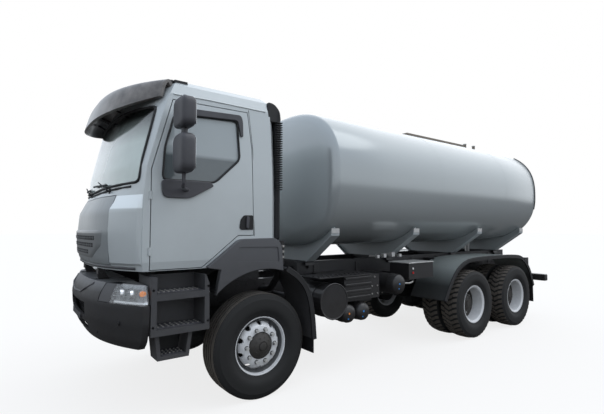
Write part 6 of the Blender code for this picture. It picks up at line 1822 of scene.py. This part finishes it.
@dataclass
class Frame:
    """Bolts along the rails, hoses, lamps and plates at the truck's ends."""

    rail_x: float = 0.430
    bolt_pitch: float = 0.125
    bolt_rows: Flat = (0.915, 1.075)
    clips: Numbers = (1.30, 2.10, 3.40, 4.10, 5.20, 5.85)
    hose_at: Flat = (0.98, 0.34)
    clamps: Numbers = (1.44, 1.50, 1.56)

    def rails(self) -> None:
        """Makes the bolt rows on the rails' webs and the clips over the subframe."""
        bolts, clips = Shape(), Shape()
        for number in range(60):
            y = -1.15 + number * self.bolt_pitch
            for z in self.bolt_rows:
                bolts.tube([(self.rail_x, y, z), (self.rail_x + 0.010, y, z)], 0.010, 6)
        for y in self.clips:
            clips.box((self.rail_x + 0.006, y - 0.04, 1.06), (self.rail_x + 0.018, y + 0.04, 1.27))
        bolts.made_pair("rail_bolts", FRAME_BLACK, CHASSIS, "chassis_black")
        clips.made_pair("subframe_clips", FRAME_BLACK, CHASSIS, "chassis_black", bevel=0.002)

    def hoses(self) -> None:
        """Makes the air intake's hose and its clamps behind the cab."""
        clamps = Shape()
        x, y = self.hose_at
        band = [(-0.01, 0.055), (0.01, 0.055), (0.01, 0.060), (-0.01, 0.060)]
        for height in self.clamps:
            clamps.tube([(0.95, 0.30, height), (1.06, y, height)], 0.014, 10)
            clamps.turned(band, (x, y, height), 28, Axis.Z)
        clamps.made("hose_clamps", BOLT_STEEL, "chassis", "galvanised")
        hose = Shape().tube([(x, y, 1.36), (x, y, 1.62)], 0.054, 20)
        hose.tube([(x, y, 1.36), (0.90, 0.36, 1.20), (0.70, 0.40, 1.05), (0.44, 0.42, 1.0)], 0.04, 16)
        hose.made("intake_hose", SEAL_RUBBER, "chassis", "grey_plastic")

    def rear(self) -> None:
        """Makes the rear lamps' lenses, the blank plate and the tape on the underrun bar."""
        for name, finish, x in (("red", RED_LENS, 0.845), ("amber", AMBER, 0.745),
                                ("white", WHITE_LENS, 0.655)):
            lens = Shape().centred_box((x, 6.5815, 1.06), (0.085, 0.008, 0.13))
            lens.made_pair(f"rear_lamp_{name}", finish, CHASSIS, "lamp", bevel=0.003)
        plate = Shape().centred_box((0.30, 6.534, 1.04), (0.50, 0.008, 0.09))
        plate.made("rear_plate", PLATE_WHITE, "chassis", "galvanised", bevel=0.001)
        tape = Shape().box((-1.15, 6.7488, 0.735), (1.15, 6.7498, 0.795))
        tape.made("underrun_tape", RED_LENS, "chassis", "chassis_black")

    def build(self) -> None:
        """Makes every piece on the frame."""
        self.rails()
        self.hoses()
        self.rear()


@dataclass
class Guards:
    """The mudguards: smooth sheets over the wheels, their rubber edges, flaps and arms."""

    inner: float = 0.60
    front_inner: float = 0.7225
    outer: float = WING_OUTER_X
    wall: float = 0.026
    edge_width: float = 0.020
    edge_depth: float = 0.050
    edge_radius: float = 0.012
    flap_wall: float = 0.012
    flap_foot: float = 0.362
    arms: Numbers = (3.72, 4.635, 5.50)
    arm_half: float = 0.025
    rear_path: Outline = (
        (3.13, 0.68), (3.38, 1.06), (3.62, 1.22), (3.92, 1.29), (5.40, 1.285), (5.68, 1.20), (5.90, 0.99),
        (6.03, 0.68))
    front_path: Outline = (
        (0.285, 1.345), (0.46, 1.235), (0.585, 1.075), (0.645, 0.82), (0.668, 0.52))

    def sheet(self, path: Sequence[Flat], inner: float) -> Shape:
        """The bent sheet along a path, from an inner edge to the rubber edge."""
        return Shape().prism(walled(path, self.wall), Axis.X, inner, self.outer - self.edge_width)

    def edge(self, path: Sequence[Flat], low: float, high: float, place: float, top: float) -> Shape:
        """The rubber edge along a path, with the flap at its end.

        Args:
            path: the smooth path.
            low: the flap's inner edge.
            high: its outer edge.
            place: its front.
            top: its top.

        Returns:
            The shape.
        """
        edge = Shape().prism(walled(path, self.edge_depth), Axis.X, self.outer - self.edge_width - 0.001,
                             self.outer)
        edge.tube([(self.outer - 0.010, y, z) for y, z in path], self.edge_radius, 8)
        return edge.box((low, place, self.flap_foot), (high, place + self.flap_wall, top))

    def build(self) -> None:
        """Makes the sheets, edges, flaps and arms."""
        path = chased(self.rear_path)
        # The sheets' finish is darker low down and lighter at the top as painted light.
        self.sheet(path, self.inner).made_pair("rear_guard_sheet", GUARD_PAINT_LIT_TOP, CHASSIS, "tank_paint",
                                               angle=40, stands_for=["rear_mudguard"])
        edge = self.edge(path, self.inner + 0.02, self.outer - 0.02, 6.012, 0.72)
        edge.made_pair("rear_guard_edge", SEAL_RUBBER, CHASSIS, "rubber", angle=40)
        arms = Shape()
        for place in self.arms:
            arms.box((RAIL_OUTER_X, place - self.arm_half, 1.17), (0.65, place + self.arm_half, 1.255))
        arms.made_pair("rear_guard_arms", FRAME_BLACK, CHASSIS, "chassis_black", bevel=0.004)
        path = chased(self.front_path)
        front = self.sheet(path, self.front_inner)
        front.tube([(RAIL_OUTER_X, 0.615, 0.9475), (self.outer - self.edge_width, 0.615, 0.9475)], 0.020, 12)
        front.made_pair("front_guard_sheet", DARK_PLASTIC, CHASSIS, "grey_plastic", angle=40,
                        stands_for=["front_mudguard"])
        edge = self.edge(path, self.front_inner + 0.026, self.outer - 0.028, 0.643, 0.56)
        edge.made_pair("front_guard_edge", SEAL_RUBBER, CHASSIS, "rubber", angle=40)


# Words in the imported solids' names and their finish, the first that fits counts
CAD_FINISHES: Tuple[Tuple[str, Finish], ...] = (
    ("glass", SIDE_GLASS), ("tank_coaming", DUSTY_STEEL), ("fuel_tank", FRAME_BLACK),
    ("manhole ladder outlet", ZINC), ("cab_shell", SHELL_PAINT), ("door", CAB_PAINT),
    ("seats dashboard", CAB_TRIM), ("engine bogie axle knuckle tie_rod", CAST_IRON),
    ("subframe", SADDLE_PAINT), ("frame silencer battery reservoir control underrun", FRAME_BLACK),
    ("mudguard", DARK_PLASTIC), ("intake", SEAL_RUBBER), ("bumper", BUMPER_PLASTIC_LIT_TOP), ("step", DARK_PLASTIC),
)


def dress_solids() -> None:
    """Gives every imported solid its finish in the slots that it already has."""
    for name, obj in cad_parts.items():
        finish = next((finish for words, finish in CAD_FINISHES
                       if any(word in name for word in words.split())), DARK_PLASTIC)
        for slot in obj.material_slots:
            slot.material = finish.material()


@dataclass
class Studio:
    """Camera, sky, lamp and floor."""

    eye: Point = (4.81394, -2.1825, 1.75847)
    yaw: float = 0.638117899
    pitch: float = 0.0538346188
    focal_pixels: float = 400.0
    photo_width: float = 604.0
    sensor: float = 36.0
    sky_high: Colour = (0.80, 0.90, 1.05)
    sky_low: Colour = (0.92, 0.96, 1.00)
    haze: Colour = (1.7, 1.75, 1.82)
    haze_side: Point = (-0.21, 0.79, 0.57)
    ground: Colour = (0.11, 0.105, 0.10)
    sun_strength: float = 0.5
    floor_size: float = 300.0

    def camera(self) -> None:
        """Sets the camera where the photograph was taken from."""
        data = bpy.data.cameras.new("camera")
        data.sensor_width = self.sensor
        data.lens = self.focal_pixels / self.photo_width * self.sensor
        data.clip_end = 500.0
        camera = bpy.data.objects.new("camera", data)
        bpy.context.scene.collection.objects.link(camera)
        flat = math.cos(self.pitch)
        look = Vector((-math.cos(self.yaw) * flat, math.sin(self.yaw) * flat, math.sin(self.pitch)))
        camera.location = (self.eye[0], self.eye[1] + FRONT_AXLE_Y, self.eye[2])
        camera.rotation_euler = look.to_track_quat("-Z", "Y").to_euler()
        bpy.context.scene.camera = camera

    def sky(self) -> None:
        """Makes the world: a pale sky over darker ground, and plain white where the camera looks at it."""
        world = bpy.data.worlds.new("sky")
        bpy.context.scene.world = world
        graph = Graph(world)
        graph.tree.nodes.clear()
        coords = graph.node("ShaderNodeTexCoord")
        split = graph.node("ShaderNodeSeparateXYZ", sockets={0: coords.outputs["Generated"]})
        height = Value(graph.tree, split.outputs[2])
        sky = graph.mix(height.ramp(0.0, 0.75), (*self.sky_low, 1), (*self.sky_high, 1))
        towards = sum((Value(graph.tree, split.outputs[number]) * part
                       for number, part in enumerate(self.haze_side)), 0.0)
        sky = graph.mix(towards.ramp(0.52, 1.0), sky, (*self.haze, 1))
        whole = graph.mix(height.ramp(-0.06, 0.04), (*self.ground, 1), sky)
        path = graph.node("ShaderNodeLightPath")
        shown = graph.mix(Value(graph.tree, path.outputs["Is Camera Ray"]), whole, (1.0, 1.0, 1.0, 1))
        background = graph.node("ShaderNodeBackground", sockets={"Color": shown})
        graph.node("ShaderNodeOutputWorld", sockets={"Surface": background.outputs[0]})

    def lamp(self) -> None:
        """Makes one wide, soft sun from above the truck's left front."""
        data = bpy.data.lights.new("sun", "SUN")
        data.energy = self.sun_strength
        data.angle = math.radians(40)
        lamp = bpy.data.objects.new("sun", data)
        lamp.rotation_euler = (math.radians(-22), math.radians(28), 0)
        bpy.context.scene.collection.objects.link(lamp)

    def floor(self) -> None:
        """Makes the floor: white with a soft shadow to the camera, dark ground to everything else."""
        half = self.floor_size / 2
        mesh = bpy.data.meshes.new("floor")
        corners = [(-half, -half, 0), (half, -half, 0), (half, half, 0), (-half, half, 0)]
        mesh.from_pydata(corners, [], [(0, 1, 2, 3)])
        floor = bpy.data.objects.new("floor", mesh)
        floor.location = (0, 0, -0.0005)
        bpy.context.scene.collection.objects.link(floor)
        material = bpy.data.materials.new("floor")
        graph = Graph(material)
        graph.tree.nodes.clear()
        white = graph.node("ShaderNodeEmission")
        pale, dark = (graph.node("ShaderNodeBsdfDiffuse", sockets={"Color": (*colour, 1)})
                      for colour in ((0.8, 0.8, 0.8), self.ground))
        lit = graph.node("ShaderNodeMixShader", sockets={0: 0.2, 1: white.outputs[0], 2: pale.outputs[0]})
        path = graph.node("ShaderNodeLightPath")
        seen = graph.node("ShaderNodeMixShader", sockets={0: path.outputs["Is Camera Ray"],
                                                          1: dark.outputs[0], 2: lit.outputs[0]})
        graph.node("ShaderNodeOutputMaterial", sockets={"Surface": seen.outputs[0]})
        mesh.materials.append(material)

    def build(self) -> None:
        """Sets up everything round the truck."""
        self.camera()
        self.sky()
        self.lamp()
        self.floor()
        bpy.context.scene.view_settings.view_transform = "Standard"


def build_wheels() -> None:
    """Makes every tyre and rim."""
    for side in Side:
        Tyre().build(f"front_tyre_{side.word}", side * FRONT_WHEEL_X, 0.0, f"front_wheel_{side.word}",
                     ribs=True)
        FrontRim().build(side)
        for axle, y in (("front", WHEELBASE), ("rear", WHEELBASE + BOGIE_SPACING)):
            body = f"twin_wheel_{axle}_{side.word}"
            for row, x in (("outer", TWIN_WHEEL_X + TWIN_OFFSET), ("inner", TWIN_WHEEL_X - TWIN_OFFSET)):
                Tyre().build(f"{row}_tyre_{axle}_{side.word}", side * x, y, body, ribs=False)
            TwinRims().build(axle, y, side)


def main() -> None:
    """Dresses the solids and makes every piece, group by group."""
    logging.basicConfig(level=logging.INFO, format="%(message)s")
    Studio().build()
    dress_solids()
    build_wheels()
    for group in (Cab(), Wing(), Bumper(), Steps(), Tank(), SideGear(), Frame(), Guards()):
        group.build()


if __name__ == "__main__":
    main()
